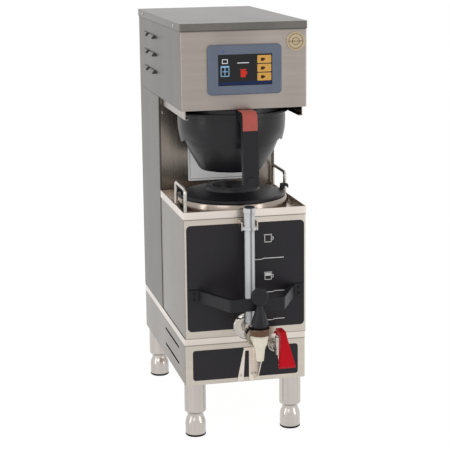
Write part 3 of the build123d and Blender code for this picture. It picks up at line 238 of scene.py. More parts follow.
class Paint:
    """A material under construction."""

    def __init__(self, name, **constants):
        self.material = bpy.data.materials.new(name)
        self.material.use_nodes = True
        self.tree = self.material.node_tree
        self.shader = self.tree.nodes["Principled BSDF"]
        for key, value in constants.items():
            self.shader.inputs[key.replace("_", " ")].default_value = value

    def feed(self, socket, item):
        """Links a wire to a socket, or sets the socket's own value."""
        if isinstance(item, Wire):
            self.tree.links.new(item.socket, socket)
        else:
            socket.default_value = item

    def node(self, kind, settings=None, output=0, **inputs):
        """A node of any kind, its settings first and its sockets after, as a wire from one output."""
        made = self.tree.nodes.new(kind)
        for key, value in (settings or {}).items():
            setattr(made, key, value)
        for key, value in inputs.items():
            self.feed(made.inputs[key.replace("_", " ")], value)
        return Wire(self, made.outputs[output])

    def maths(self, operation, first, second):
        """One sum on two numbers or wires."""
        made = self.tree.nodes.new("ShaderNodeMath")
        made.operation = operation
        self.feed(made.inputs[0], first)
        self.feed(made.inputs[1], second)
        return Wire(self, made.outputs[0])

    def blend(self, share, first, second):
        """Mixes two colours by a share from 0 to 1."""
        made = self.tree.nodes.new("ShaderNodeMix")
        made.data_type = "RGBA"
        self.feed(made.inputs[0], share)
        self.feed(made.inputs[6], first if isinstance(first, Wire) else (*first, 1.0))
        self.feed(made.inputs[7], second if isinstance(second, Wire) else (*second, 1.0))
        return Wire(self, made.outputs[2])

    def place(self, scale=(1.0, 1.0, 1.0)):
        """The object's own coordinates, stretched by a scale on each axis."""
        coordinates = self.node("ShaderNodeTexCoord", output=3)
        return self.node("ShaderNodeMapping", Vector=coordinates, Scale=scale)

    def noise(self, scale, stretch=(1.0, 1.0, 1.0), detail=2.0, roughness=0.5):
        """A noise value from 0 to 1."""
        return self.node("ShaderNodeTexNoise", Vector=self.place(stretch), Scale=scale, Detail=detail,
                         Roughness=roughness)

    def bump(self, height, strength, distance):
        """Feeds a height to the shader's normal."""
        bumped = self.node("ShaderNodeBump", Height=height, Strength=strength, Distance=distance)
        self.feed(self.shader.inputs["Normal"], bumped)

    def colour(self, item):
        """Feeds the base colour."""
        self.feed(self.shader.inputs["Base Color"], item)

    def rough(self, item):
        """Feeds the roughness."""
        self.feed(self.shader.inputs["Roughness"], item)


PAINTS = {}


def shade(colour, factor):
    """A colour made lighter or darker by a factor."""
    return tuple(min(1.0, channel * factor) for channel in colour)


def brushed_steel(name, colour, grain_axis, rough=0.3, strength=1.0, shaded_seams=(), band_axis=None, shaded_flank=None):
    """Brushed steel: fine scratches, broad soft bands, mottling, and painted shade along level seams.

    A shaded flank is the distance from the middle beyond which a shell's sides get painted shade, darker
    than its front."""
    across = [SCRATCH_ACROSS] * 3
    across["xyz".index(grain_axis)] = SCRATCH_ALONG
    paint = Paint(name, Metallic=1.0)
    fine = paint.noise(6.0, across, 4.0, 0.65)
    streak = paint.noise(1.0, [step * STREAK_COARSENESS for step in across], 3.0, 0.6)
    band_stretch = [BAND_ACROSS] * 3
    band_stretch["xyz".index(band_axis or grain_axis)] = BAND_ALONG
    band = paint.noise(1.6, band_stretch, 1.5, 0.5)
    soil = paint.noise(9.0, detail=5.0, roughness=0.6)
    mixed = fine * 0.30 + streak * 0.30 + band * 0.90
    share = (mixed - 0.75) * (1.7 * strength) + 0.5
    share = paint.node("ShaderNodeClamp", Value=share)
    base = paint.blend(share, shade(colour, 0.72), shade(colour, 1.25))
    base = paint.blend(soil * 0.10, base, shade(colour, 0.72))
    # Painted shade: darkens the steel near each seam height, where parts meet.
    if shaded_seams:
        height = paint.node("ShaderNodeSeparateXYZ", output=2, Vector=paint.place())
        for level, reach in shaded_seams:
            gap = paint.node("ShaderNodeMath", {"operation": "ABSOLUTE"}, Value=height - level)
            share = paint.node("ShaderNodeMapRange", Value=gap, From_Min=0.0, From_Max=reach,
                               To_Min=SEAM_SHADE_STRENGTH, To_Max=0.0)
            base = paint.blend(share, base, shade(colour, SEAM_SHADE_TONE))
    # Painted shade: the shell's sides beyond the flank are darkened towards black.
    if shaded_flank:
        side = paint.node("ShaderNodeSeparateXYZ", output=0, Vector=paint.place())
        from_middle = paint.node("ShaderNodeMath", {"operation": "ABSOLUTE"}, Value=side)
        base = paint.blend((from_middle > shaded_flank) * FLANK_SHADE, base, (0.0, 0.0, 0.0))
    paint.colour(base)
    paint.rough((fine * 0.16 + soil * 0.06) * strength + (rough - 0.08))
    paint.bump(fine * 0.7 + streak * 0.3, 0.10 * strength, 0.0003)
    return paint.material


def polished_metal(name, colour, rough=0.08):
    """Plated or polished metal, with faint smears and a few fine marks."""
    paint = Paint(name, Metallic=1.0)
    smear = paint.noise(60.0, detail=4.0, roughness=0.6)
    band = paint.noise(90.0, (0.3, 0.3, 2.0), 2.0)
    tone = paint.blend(band, shade(colour, 0.55), shade(colour, 1.15))
    paint.colour(paint.blend(smear * 0.35, tone, shade(colour, 0.6)))
    paint.rough(smear * 0.14 + rough)
    paint.bump(smear, 0.04, 0.0002)
    return paint.material


def satin_panel(name, colour):
    """A satin printed panel: nearly even, with a fine leathery grain and light wear."""
    paint = Paint(name, Specular_IOR_Level=0.3)
    grain = paint.noise(900.0, detail=3.0)
    cloud = paint.noise(14.0, detail=3.0, roughness=0.6)
    paint.colour(paint.blend(cloud, shade(colour, 0.78), shade(colour, 1.35)))
    paint.rough(grain * 0.16 + cloud * 0.08 + 0.26)
    paint.bump(grain, 0.06, 0.0002)
    return paint.material


def moulded(name, colour, rough=0.42, grain_size=700.0, depth=0.12, specular=0.3):
    """Moulded plastic with a spark-eroded grain and slightly cloudy colour."""
    paint = Paint(name, Specular_IOR_Level=specular)
    cells = paint.node("ShaderNodeTexVoronoi", {"feature": "F1"}, Vector=paint.place(), Scale=grain_size)
    grain = paint.noise(grain_size * 0.7, detail=3.0)
    cloud = paint.noise(22.0, detail=4.0, roughness=0.6)
    paint.colour(paint.blend(cloud, shade(colour, 0.80), shade(colour, 1.25)))
    paint.rough(cloud * 0.12 + grain * 0.10 + (rough - 0.11))
    paint.bump(cells * 0.5 + grain * 0.5, depth, 0.0003)
    return paint.material


def clear_plastic(name):
    """Clear tube plastic: a painted sheen along its sides, painted shade down its middle, with drawing lines
    along it.
    """
    paint = Paint(name, Transmission_Weight=0.25, IOR=1.46, Specular_IOR_Level=0.6)
    lines = paint.noise(1.0, (420.0, 420.0, 3.0), 3.0)
    haze = paint.noise(60.0, detail=3.0)
    # Painted shade down the tube's middle and a painted sheen along its sides, by distance across x.
    across = paint.node("ShaderNodeSeparateXYZ", output=0, Vector=paint.place())
    from_middle = paint.node("ShaderNodeMath", {"operation": "ABSOLUTE"}, Value=across - PAINTED_CORE_OFFSET)
    painted_dark_core = paint.node("ShaderNodeMapRange", Value=from_middle, From_Min=PAINTED_CORE_INNER, From_Max=PAINTED_CORE_OUTER,
                      To_Min=0.75, To_Max=0.0)
    pale = paint.blend(lines, tint(206, 208, 212), tint(250, 250, 252))
    paint.colour(paint.blend(painted_dark_core, pale, tint(84, 84, 90)))
    paint.rough(haze * 0.14 + 0.06)
    paint.bump(lines, 0.08, 0.0003)
    return paint.material


def dark_glass(name, colour):
    """The display's cover glass, with faint finger smears."""
    paint = Paint(name, Specular_IOR_Level=0.3)
    smear = paint.noise(40.0, (1.0, 1.0, 2.2), 5.0, 0.65)
    paint.colour(paint.blend(smear, shade(colour, 0.7), shade(colour, 1.5)))
    paint.rough(smear * 0.16 + 0.05)
    return paint.material


def glowing(name, colour, level):
    """A lit area of the display, with a soft unevenness."""
    paint = Paint(name, Emission_Strength=level, Specular_IOR_Level=0.1)
    dots = paint.noise(160.0, detail=2.0)
    lit = paint.blend(dots, shade(colour, 0.86), shade(colour, 1.1))
    paint.colour(shade_wire(paint, lit))
    paint.feed(paint.shader.inputs["Emission Color"], lit)
    paint.rough(dots * 0.1 + 0.3)
    return paint.material


def shade_wire(paint, wire):
    """A dim version of a colour that comes from a wire."""
    return paint.blend(0.85, wire, (0.0, 0.0, 0.0))


def paper(name, colour):
    """A plain card with a fibrous surface."""
    paint = Paint(name, Specular_IOR_Level=0.2)
    fibre = paint.noise(700.0, (1.0, 1.0, 0.4), 4.0)
    cloud = paint.noise(18.0, detail=3.0)
    paint.colour(paint.blend(cloud * 0.7 + fibre * 0.3, shade(colour, 0.93), shade(colour, 1.05)))
    paint.rough(fibre * 0.2 + 0.45)
    paint.bump(fibre, 0.08, 0.0002)
    return paint.material


def printed(name, colour):
    """Screen-printed ink, slightly uneven."""
    paint = Paint(name, Specular_IOR_Level=0.25)
    ink = paint.noise(500.0, detail=3.0)
    paint.colour(paint.blend(ink, shade(colour, 0.84), shade(colour, 1.06)))
    paint.rough(ink * 0.2 + 0.4)
    return paint.material


def rubber(name, colour):
    """Matt rubber with dust in its texture."""
    paint = Paint(name, Specular_IOR_Level=0.2)
    dust = paint.noise(120.0, detail=5.0, roughness=0.7)
    paint.colour(paint.blend(dust * 0.5, colour, shade(colour, 2.4)))
    paint.rough(dust * 0.2 + 0.6)
    paint.bump(dust, 0.2, 0.0004)
    return paint.material


def circuit_board(name):
    """Green solder mask with paler tracks."""
    paint = Paint(name, Specular_IOR_Level=0.4)
    tracks = paint.node("ShaderNodeTexVoronoi", {"feature": "DISTANCE_TO_EDGE"},
                        Vector=paint.place((1.0, 0.05, 1.0)), Scale=160.0)
    share = paint.maths("LESS_THAN", tracks, 0.06)
    paint.colour(paint.blend(share, tint(18, 74, 40), tint(58, 128, 74)))
    paint.rough(share * 0.2 + 0.3)
    return paint.material


def make_paints():
    """Makes every finish once, from the scene's colours."""
    colours = bpy.context.scene.brewer_colours
    grain = bpy.context.scene.brewer_sizes.grain
    lip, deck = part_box("base_top"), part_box("sat_deck")
    joint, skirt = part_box("hood_shell")[0][2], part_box("top_cover")[0][2]
    # Painted shade darkens the steel along these seams of the base's lip and the satellite's deck.
    shaded_level_seams = [(lip[0][2], 0.0016), (lip[1][2], 0.0022), (deck[0][2], 0.0016)]
    # The side, cover and bay tones are darker copies of the same steel, as painted shade.
    steel = [
        ("steel_side_shaded", colours.steel_side_shaded, "z", 0.34, [(joint, 0.0016), (skirt, 0.003)], 0.8, "z"),
        ("steel_front", colours.steel_front, "x", 0.28, [(skirt, 0.0025)], 1.0, "z"),
        ("steel_light", colours.steel_light, "x", 0.24, shaded_level_seams, 0.8, "z"),
        ("steel_bay_shaded", colours.steel_bay_shaded, "z", 0.20, [], 1.2, "z"),
        ("steel_top_shaded", colours.steel_top_shaded, "y", 0.33, [(skirt, 0.0016)], 0.8, "y"),
        ("steel_leg", colours.steel_leg, "z", 0.17, [], 1.3, "z"),
        ("steel_plain", shade(colours.steel_bay_shaded, 0.8), "x", 0.35, [], 1.0, "z"),
    ]
    # The satellite's case and the base get painted shade on their sides.
    for name, node in (("steel_case", "sat_shell"), ("steel_base", "base_shell")):
        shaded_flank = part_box(node)[1][0] - FLANK_EDGE
        PAINTS[name] = brushed_steel("finish_" + name, tuple(colours.steel_case), "x", 0.30, grain * 0.8,
                                     shaded_level_seams, "z", shaded_flank)
    for name, colour, axis, rough, shaded_seams, strength, bands in steel:
        PAINTS[name] = brushed_steel("finish_" + name, tuple(colour), axis, rough, grain * strength, shaded_seams,
                                     bands)
    PAINTS["rim"] = polished_metal("finish_rim", tint(170, 158, 148), 0.16)
    PAINTS["chrome"] = polished_metal("finish_chrome", tint(206, 200, 192), 0.07)
    PAINTS["dark_chrome"] = polished_metal("finish_dark_chrome", tint(112, 88, 72), 0.10)
    PAINTS["brass"] = polished_metal("finish_brass", tint(196, 158, 86), 0.22)
    PAINTS["badge"] = brushed_steel("finish_badge", tint(186, 170, 142), "x", 0.3, 0.5)
    PAINTS["panel"] = satin_panel("finish_panel", tuple(colours.panel))
    PAINTS["plastic"] = moulded("finish_plastic", tuple(colours.plastic))
    PAINTS["cone"] = moulded("finish_cone", shade(colours.plastic, 0.9), 0.30, 500.0, 0.06, 0.35)
    PAINTS["bezel"] = moulded("finish_bezel", tuple(colours.bezel), 0.38, 900.0, 0.05)
    PAINTS["lever"] = moulded("finish_lever", tuple(colours.lever), 0.30, 300.0, 0.02, 0.15)
    PAINTS["grip_cap"] = moulded("finish_grip_cap", tuple(colours.grip_cap), 0.45, 600.0, 0.08)
    PAINTS["faucet"] = moulded("finish_faucet", tuple(colours.faucet), 0.3, 260.0, 0.03, 0.4)
    PAINTS["silicone"] = moulded("finish_silicone", tint(214, 208, 196), 0.5, 260.0, 0.05)
    PAINTS["clear"] = clear_plastic("finish_clear")
    PAINTS["screen"] = dark_glass("finish_screen", tuple(colours.screen))
    PAINTS["card"] = paper("finish_card", tuple(colours.card))
    PAINTS["card_line"] = printed("finish_card_line", tint(128, 132, 140))
    PAINTS["print"] = printed("finish_print", tuple(colours.print_white))
    PAINTS["rubber"] = rubber("finish_rubber", tint(24, 23, 24))
    PAINTS["board"] = circuit_board("finish_board")
    PAINTS["lamp"] = glowing("finish_lamp", tint(90, 140, 220), 0.4)
    lit = {"white": (236, 238, 242), "blue": (150, 196, 232), "red": (208, 58, 44), "gold": (214, 164, 84),
           "brown": (70, 44, 24), "navy": (28, 44, 84)}
    for name, colour in lit.items():
        PAINTS["lit_" + name] = glowing("finish_lit_" + name, tint(*colour), 0.75)


def link_piece(name, bm, finish, body, sharp=SHARP):
    """Turns a bmesh into a named piece that rides on a body, smooth but for its sharp edges."""
    for face in bm.faces:
        face.smooth = True
    for edge in bm.edges:
        if len(edge.link_faces) == 2:
            edge.smooth = edge.calc_face_angle(0.0) < math.radians(sharp)
    mesh = bpy.data.meshes.new(name)
    bm.to_mesh(mesh)
    bm.free()
    piece = bpy.data.objects.new(name, mesh)
    bpy.context.scene.collection.objects.link(piece)
    mesh.materials.append(PAINTS[finish])
    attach(piece, body)
    return piece


def dress(node, finish, radius=0.0, sharp=SHARP):
    """A skin over a CAD node: its shape with joined faces, rounded edges and a finish."""
    bm = bmesh.new()
    bm.from_mesh(NODES[node].data)
    bmesh.ops.remove_doubles(bm, verts=bm.verts, dist=MERGE_DISTANCE)
    bmesh.ops.dissolve_limit(bm, angle_limit=math.radians(FLAT_ANGLE), verts=bm.verts, edges=bm.edges)
    skin = link_piece(node + "_skin", bm, finish, BODY_OF[node], sharp)
    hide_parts(node)
    if radius > 0.0:
        rounding = skin.modifiers.new("rounding", "BEVEL")
        rounding.width = radius
        rounding.segments = 2
        rounding.limit_method = "ANGLE"
        rounding.angle_limit = math.radians(BEVEL_ANGLE)
        rounding.use_clamp_overlap = True


def plate(bm, centre, width, height, thick, radius=0.0):
    """Adds a thin upright plate that faces forward, with rounded corners."""
    size = Matrix.Diagonal((width, thick, height, 1.0))
    made = bmesh.ops.create_cube(bm, size=1.0, matrix=Matrix.Translation(centre) @ size)
    if radius > 0.0:
        edges = {edge for vert in made["verts"] for edge in vert.link_edges
                 if abs(edge.verts[0].co.y - edge.verts[1].co.y) > thick * 0.5}
        bmesh.ops.bevel(bm, geom=list(edges), offset=radius, segments=4, profile=0.5, affect="EDGES",
                        material=-1)


def bar(bm, start, end, width, thick):
    """Adds a thin printed bar from one point to another on a forward-facing panel."""
    run = end - start
    turn = math.atan2(-run.z, run.x)
    matrix = (Matrix.Translation((start + end) / 2) @ Matrix.Rotation(turn, 4, "Y")
              @ Matrix.Diagonal((run.length + width * 0.6, thick, width, 1.0)))
    bmesh.ops.create_cube(bm, size=1.0, matrix=matrix)


def lathe(bm, outline, x, y, steps=72):
    """Spins an outline of radius and height pairs, in millimetres, about an upright axis."""
    verts = [bm.verts.new(at(x + radius, y, z)) for radius, z in outline]
    edges = [bm.edges.new(pair) for pair in closed(verts)]
    bmesh.ops.spin(bm, geom=verts + edges, cent=at(x, y, 0.0), axis=(0.0, 0.0, 1.0),
                   angle=math.radians(360.0), steps=steps, use_merge=True)
    bmesh.ops.remove_doubles(bm, verts=bm.verts, dist=MERGE_DISTANCE)
    bmesh.ops.recalc_face_normals(bm, faces=bm.faces)


class BREWER_OT_finishes(bpy.types.Operator):
    """Makes the finishes"""
    bl_idname = "brewer.finishes"
    bl_label = "Make finishes"

    def execute(self, context):
        make_paints()
        return {"FINISHED"}


class BREWER_OT_cabinet(bpy.types.Operator):
    """Dresses the base, column and hood"""
    bl_idname = "brewer.cabinet"
    bl_label = "Dress cabinet"

    def execute(self, context):
        fold = context.scene.brewer_sizes.fold_radius
        dress("base_shell", "steel_base", fold)
        dress("base_top", "steel_light", fold)
        dress("base_front_panel", "panel")
        dress("column_shell", "steel_side_shaded", fold)
        dress("column_front", "steel_bay_shaded")
        dress("rear_panel", "steel_side_shaded", fold * 0.4)
        dress("hood_shell", "steel_side_shaded")
        dress("hood_front", "steel_front", fold * 0.5)
        dress("top_cover", "steel_top_shaded", fold)
        dress("case_screws", "chrome", sharp=40.0)
        dress("faucet_guard", "steel_light", fold * 0.4)
        dress("rail_left", "steel_bay_shaded", fold * 0.3)
        dress("rail_right", "steel_bay_shaded", fold * 0.3)
        dress("water_inlet", "brass", fold * 0.5)
        dress("cord_gland", "plastic", fold * 0.5)
        return {"FINISHED"}


class BREWER_OT_display(bpy.types.Operator):
    """Dresses the touch display, its lit marks and the badge"""
    bl_idname = "brewer.display"
    bl_label = "Dress display"

    def execute(self, context):
        sizes = context.scene.brewer_sizes
        dress("touch_bezel", "bezel", sharp=50.0)
        dress("touch_screen", "screen")
        dress("status_lamp", "lamp")
        dress("badge", "badge", sizes.fold_radius * 0.5)
        self.badge_rings()
        glass = (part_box("touch_screen")[0][1] - FRONT) / MM
        raised = sizes.print_height / MM
        lift = glass - raised / 2
        for colour, plates in DISPLAY_MARKS.items():
            bm = bmesh.new()
            for x, z, width, height, radius in plates:
                plate(bm, at(x, lift, z), width * MM, height * MM, raised * MM, radius * MM)
            link_piece("display_" + colour, bm, "lit_" + colour, "machine")
        bm = bmesh.new()
        for z in CUP_HEIGHTS:
            plate(bm, at(CUP_X, lift - raised, z - CUP_DROP), CUP_SIZE, CUP_SIZE, raised * MM, CUP_CORNER)
            plate(bm, at(CUP_GRIP_X, lift - raised, z), CUP_GRIP_WIDTH, CUP_GRIP_HEIGHT, raised * MM,
                  CUP_GRIP_CORNER)
        link_piece("display_cups", bm, "lit_brown", "machine")
        return {"FINISHED"}

    def badge_rings(self):
        """Two raised rings and a level bar on the plain badge."""
        low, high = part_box("badge")
        centre = Vector(((low[0] + high[0]) / 2, low[1] + BADGE_FACE, (low[2] + high[2]) / 2))
        half, rise = BADGE_LINE_HALF, BADGE_LINE_RISE
        bm = bmesh.new()
        for radius in BADGE_RINGS:
            verts = [bm.verts.new(centre + Vector((radius + side, front, 0.0)))
                     for side, front in ((-half, 0.0), (half, 0.0), (half, -rise), (-half, -rise))]
            edges = [bm.edges.new(pair) for pair in closed(verts)]
            bmesh.ops.spin(bm, geom=verts + edges, cent=centre, axis=(0.0, 1.0, 0.0),
                           angle=math.radians(360.0), steps=48, use_merge=True)
        bar(bm, centre + Vector((-BADGE_BAR_HALF, -rise / 2, 0.0)),
            centre + Vector((BADGE_BAR_HALF, -rise / 2, 0.0)), BADGE_BAR_WIDTH, rise)
        bmesh.ops.remove_doubles(bm, verts=bm.verts, dist=MERGE_DISTANCE)
        bmesh.ops.recalc_face_normals(bm, faces=bm.faces)
        link_piece("badge_rings", bm, "dark_chrome", "machine")


class BREWER_OT_card(bpy.types.Operator):
    """Dresses the plain card and its border"""
    bl_idname = "brewer.card"
    bl_label = "Dress card"

    def execute(self, context):
        dress("instruction_card", "card")
        low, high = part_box("instruction_card")
        thick = context.scene.brewer_sizes.print_height
        y = low[1] - thick / 2
        left, right = low[0] + BORDER_INSET, high[0] - BORDER_INSET
        bottom, top = low[2] + BORDER_INSET, high[2] - BORDER_INSET
        corners = [Vector((left, y, bottom)), Vector((right, y, bottom)), Vector((right, y, top)),
                   Vector((left, y, top))]
        bm = bmesh.new()
        for start, end in closed(corners):
            bar(bm, start, end, BORDER_WIDTH, thick)
        link_piece("card_border", bm, "card_line", "machine")
        return {"FINISHED"}


class BREWER_OT_cone(bpy.types.Operator):
    """Dresses the brew cone, its handle and its basket"""
    bl_idname = "brewer.cone"
    bl_label = "Dress brew cone"

    def execute(self, context):
        mould = context.scene.brewer_sizes.mould_radius
        dress("brew_cone", "cone", sharp=24.0)
        self.scalloped_skirt()
        dress("cone_handle", "plastic", mould)
        dress("handle_insert", "grip_cap", mould * 0.8)
        dress("handle_plug", "plastic", mould * 0.4)
        dress("wire_basket", "steel_plain")
        return {"FINISHED"}

    def scalloped_skirt(self):
        """The collar's lower skirt, whose edge rises and falls in soft waves round the funnel."""
        x, y = axis_of("brew_cone")
        bm = bmesh.new()
        lathe(bm, SKIRT_OUTLINE, x, y, SKIRT_STEPS)
        centre = at(x, y, 0.0)
        for vert in bm.verts:
            angle = math.atan2(vert.co.x - centre.x, -(vert.co.y - centre.y))
            share = max(0.0, min(1.0, (SKIRT_EDGE + SKIRT_REACH - vert.co.z) / SKIRT_REACH))
            wave = 0.5 + 0.5 * math.cos(angle * SKIRT_WAVES + SKIRT_TURN)
            vert.co.z += share * share * (SKIRT_WAVE_HEIGHT * wave - SKIRT_DROP)
        link_piece("cone_skirt", bm, "cone", "brew_cone", 40.0)


class BREWER_OT_spray(bpy.types.Operator):
    """Dresses the spray head and what the cabinet hides"""
    bl_idname = "brewer.spray"
    bl_label = "Dress spray head and water system"

    def execute(self, context):
        dress("spray_head", "steel_plain", sharp=40.0)
        dress("brew_tube", "silicone")
        dress("water_tank", "steel_plain")
        dress("tank_lid", "steel_plain")
        dress("heating_element", "steel_plain")
        dress("outlet_valve", "brass")
        dress("control_board", "board")
        return {"FINISHED"}


class BREWER_OT_satellite(bpy.types.Operator):
    """Dresses the satellite's case, deck, vessel, ring, bails and handle"""
    bl_idname = "brewer.satellite"
    bl_label = "Dress satellite"

    def execute(self, context):
        sizes = context.scene.brewer_sizes
        fold = sizes.fold_radius
        dress("sat_shell", "steel_case", fold)
        dress("sat_deck", "steel_light", fold)
        dress("liner", "steel_plain")
        dress("rim_ring", "rim", fold, sharp=40.0)
        dress("bails", "chrome", sharp=50.0)
        dress("sat_front_panel", "panel")
        dress("carry_handle", "plastic", sizes.mould_radius)
        dress("handle_screws", "rubber", sharp=40.0)
        self.print_marks(sizes)
        return {"FINISHED"}

    def print_marks(self, sizes):
        """The level lines and the two mug marks on the panel."""
        thick = sizes.print_height
        y = (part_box("sat_front_panel")[0][1] - FRONT) / MM - thick / MM / 2
        bm = bmesh.new()
        for left, knee, right, z in LEVEL_LINES:
            points = [at(left, y, z), at(knee - KNEE_RUN, y, z), at(knee, y, z + KNEE_RISE),
                      at(right, y, z + KNEE_RISE)]
            for start, end in zip(points, points[1:]):
                bar(bm, start, end, sizes.line_width * 0.8, thick)
        for z, filled in MUGS:
            self.mug(bm, y, z, filled, thick)
        link_piece("panel_marks", bm, "print", "satellite")

    def mug(self, bm, y, z, filled, thick):
        """One mug mark: an outline with a rim, a handle and perhaps a level in it."""
        x, half, height, line = MUG_X, MUG_HALF, MUG_HEIGHT, MUG_LINE * MM
        over, reach = half + MUG_RIM_OVER, half + MUG_GRIP_REACH
        corners = [at(x - half, y, z), at(x + half, y, z), at(x + half, y, z - height),
                   at(x - half, y, z - height)]
        for start, end in closed(corners):
            bar(bm, start, end, line, thick)
        rim = z + MUG_RIM_OVER
        bar(bm, at(x - over, y, rim), at(x + over, y, rim), MUG_RIM_WIDTH * MM, thick)
        grip = [at(x + half, y, z - 3.5), at(x + reach, y, z - 4.2), at(x + reach, y, z - 8.0),
                at(x + half, y, z - 9.5)]
        for start, end in zip(grip, grip[1:]):
            bar(bm, start, end, line * 1.3, thick)
        if filled > 0.0:
            depth = height * filled
            plate(bm, at(x, y, z - depth / 2), 2.0 * half * MM, depth * MM, thick)


class BREWER_OT_lid(bpy.types.Operator):
    """Dresses the satellite's lid and its hooks"""
    bl_idname = "brewer.lid"
    bl_label = "Dress lid"

    def execute(self, context):
        edge = context.scene.brewer_sizes.mould_radius * 0.6
        dress("sat_lid", "plastic", edge, sharp=28.0)
        dress("lid_hooks", "plastic", edge)
        return {"FINISHED"}


class BREWER_OT_gauge(bpy.types.Operator):
    """Dresses the sight gauge"""
    bl_idname = "brewer.gauge"
    bl_label = "Dress sight gauge"

    def execute(self, context):
        fold = context.scene.brewer_sizes.fold_radius
        dress("gauge_tube", "clear")
        dress("gauge_cap", "clear", fold * 0.6)
        dress("gauge_plug", "plastic", fold)
        dress("gauge_bracket", "steel_light", fold * 0.4)
        dress("gauge_nut", "plastic", sharp=40.0)
        dress("gauge_fitting", "clear")
        low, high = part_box("gauge_tube")
        y = axis_of("gauge_tube")[1]
        bottom, top = low[2] / MM + GLASS_INSET, high[2] / MM - GLASS_INSET
        bm = bmesh.new()
        lathe(bm, [(GLASS_INNER, bottom), (GLASS_OUTER, bottom), (GLASS_OUTER, top), (GLASS_INNER, top)],
              0.0, y, 40)
        link_piece("gauge_inner_glass", bm, "clear", "satellite")
        return {"FINISHED"}


class BREWER_OT_faucet(bpy.types.Operator):
    """Dresses the satellite's faucet, its shank and its lever"""
    bl_idname = "brewer.faucet"
    bl_label = "Dress faucet"

    def execute(self, context):
        sizes = context.scene.brewer_sizes
        dress("shank", "chrome", sharp=30.0)
        dress("faucet_body", "faucet", sizes.fold_radius * 0.6, sharp=30.0)
        dress("bonnet_ring", "dark_chrome", sizes.fold_radius * 0.6)
        dress("faucet_lever", "plastic", sharp=36.0)
        self.knurled_nut()
        return {"FINISHED"}

    def knurled_nut(self):
        """A coupling nut with milled flats, in place of its plain solid."""
        low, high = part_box("shank_nut")
        radius = (high[2] - low[2]) / 2 * NUT_SHRINK
        centre = Vector(((low[0] + high[0]) / 2, 0.0, (low[2] + high[2]) / 2))
        bm = bmesh.new()
        turn = Matrix.Translation((centre.x, (low[1] + high[1]) / 2, centre.z)) @ Matrix.Rotation(
            math.radians(90.0), 4, "X")
        bmesh.ops.create_cone(bm, cap_ends=False, segments=NUT_SIDES, radius1=radius, radius2=radius,
                              depth=high[1] - low[1], matrix=turn)
        grooves = [face for index, face in enumerate(bm.faces) if index % NUT_PITCH < NUT_GROOVE]
        bmesh.ops.inset_individual(bm, faces=grooves, thickness=GROOVE_MARGIN, depth=-GROOVE_DEPTH)
        rims = [edge for edge in bm.edges if edge.is_boundary]
        rings = bmesh.ops.extrude_edge_only(bm, edges=rims)
        verts = [item for item in rings["geom"] if isinstance(item, bmesh.types.BMVert)]
        for vert in verts:
            spoke = Vector((vert.co.x - centre.x, 0.0, vert.co.z - centre.z))
            spoke = spoke.normalized() * NUT_BORE
            vert.co.x = centre.x + spoke.x
            vert.co.z = centre.z + spoke.z
        inner_rims = [edge for edge in bm.edges if edge.is_boundary]
        bmesh.ops.bridge_loops(bm, edges=inner_rims)
        bmesh.ops.recalc_face_normals(bm, faces=bm.faces)
        nut = link_piece("shank_nut_milled", bm, "chrome", "satellite", 25.0)
        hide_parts("shank_nut")


class BREWER_OT_tap(bpy.types.Operator):
    """Dresses the hot-water tap"""
    bl_idname = "brewer.tap"
    bl_label = "Dress hot-water tap"

    def execute(self, context):
        mould = context.scene.brewer_sizes.mould_radius
        dress("tap_body", "chrome", mould * 0.4, sharp=36.0)
        dress("tap_lever", "lever", mould)
        return {"FINISHED"}


class BREWER_OT_legs(bpy.types.Operator):
    """Dresses the legs and feet, with a rubber pad under each foot"""
    bl_idname = "brewer.legs"
    bl_label = "Dress legs"

    def execute(self, context):
        sizes = context.scene.brewer_sizes
        dress("leg_tubes", "steel_leg", sharp=30.0)
        for corner in ("front_left", "front_right", "rear_left", "rear_right"):
            node = "foot_" + corner
            dress(node, "steel_leg", sharp=24.0)
            low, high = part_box(node)
            x, y = axis_of(node)
            radius = (high[0] - low[0]) / 2 / MM
            height = sizes.pad_height / MM
            bm = bmesh.new()
            lathe(bm, [(radius - 4.0, 0.05), (radius - 1.6, 0.05), (radius + 0.05, 1.6),
                       (radius + 0.15, height), (radius - 3.0, height), (radius - 4.0, 0.8)], x, y, 48)
            link_piece(node + "_pad", bm, "rubber", node)
        return {"FINISHED"}


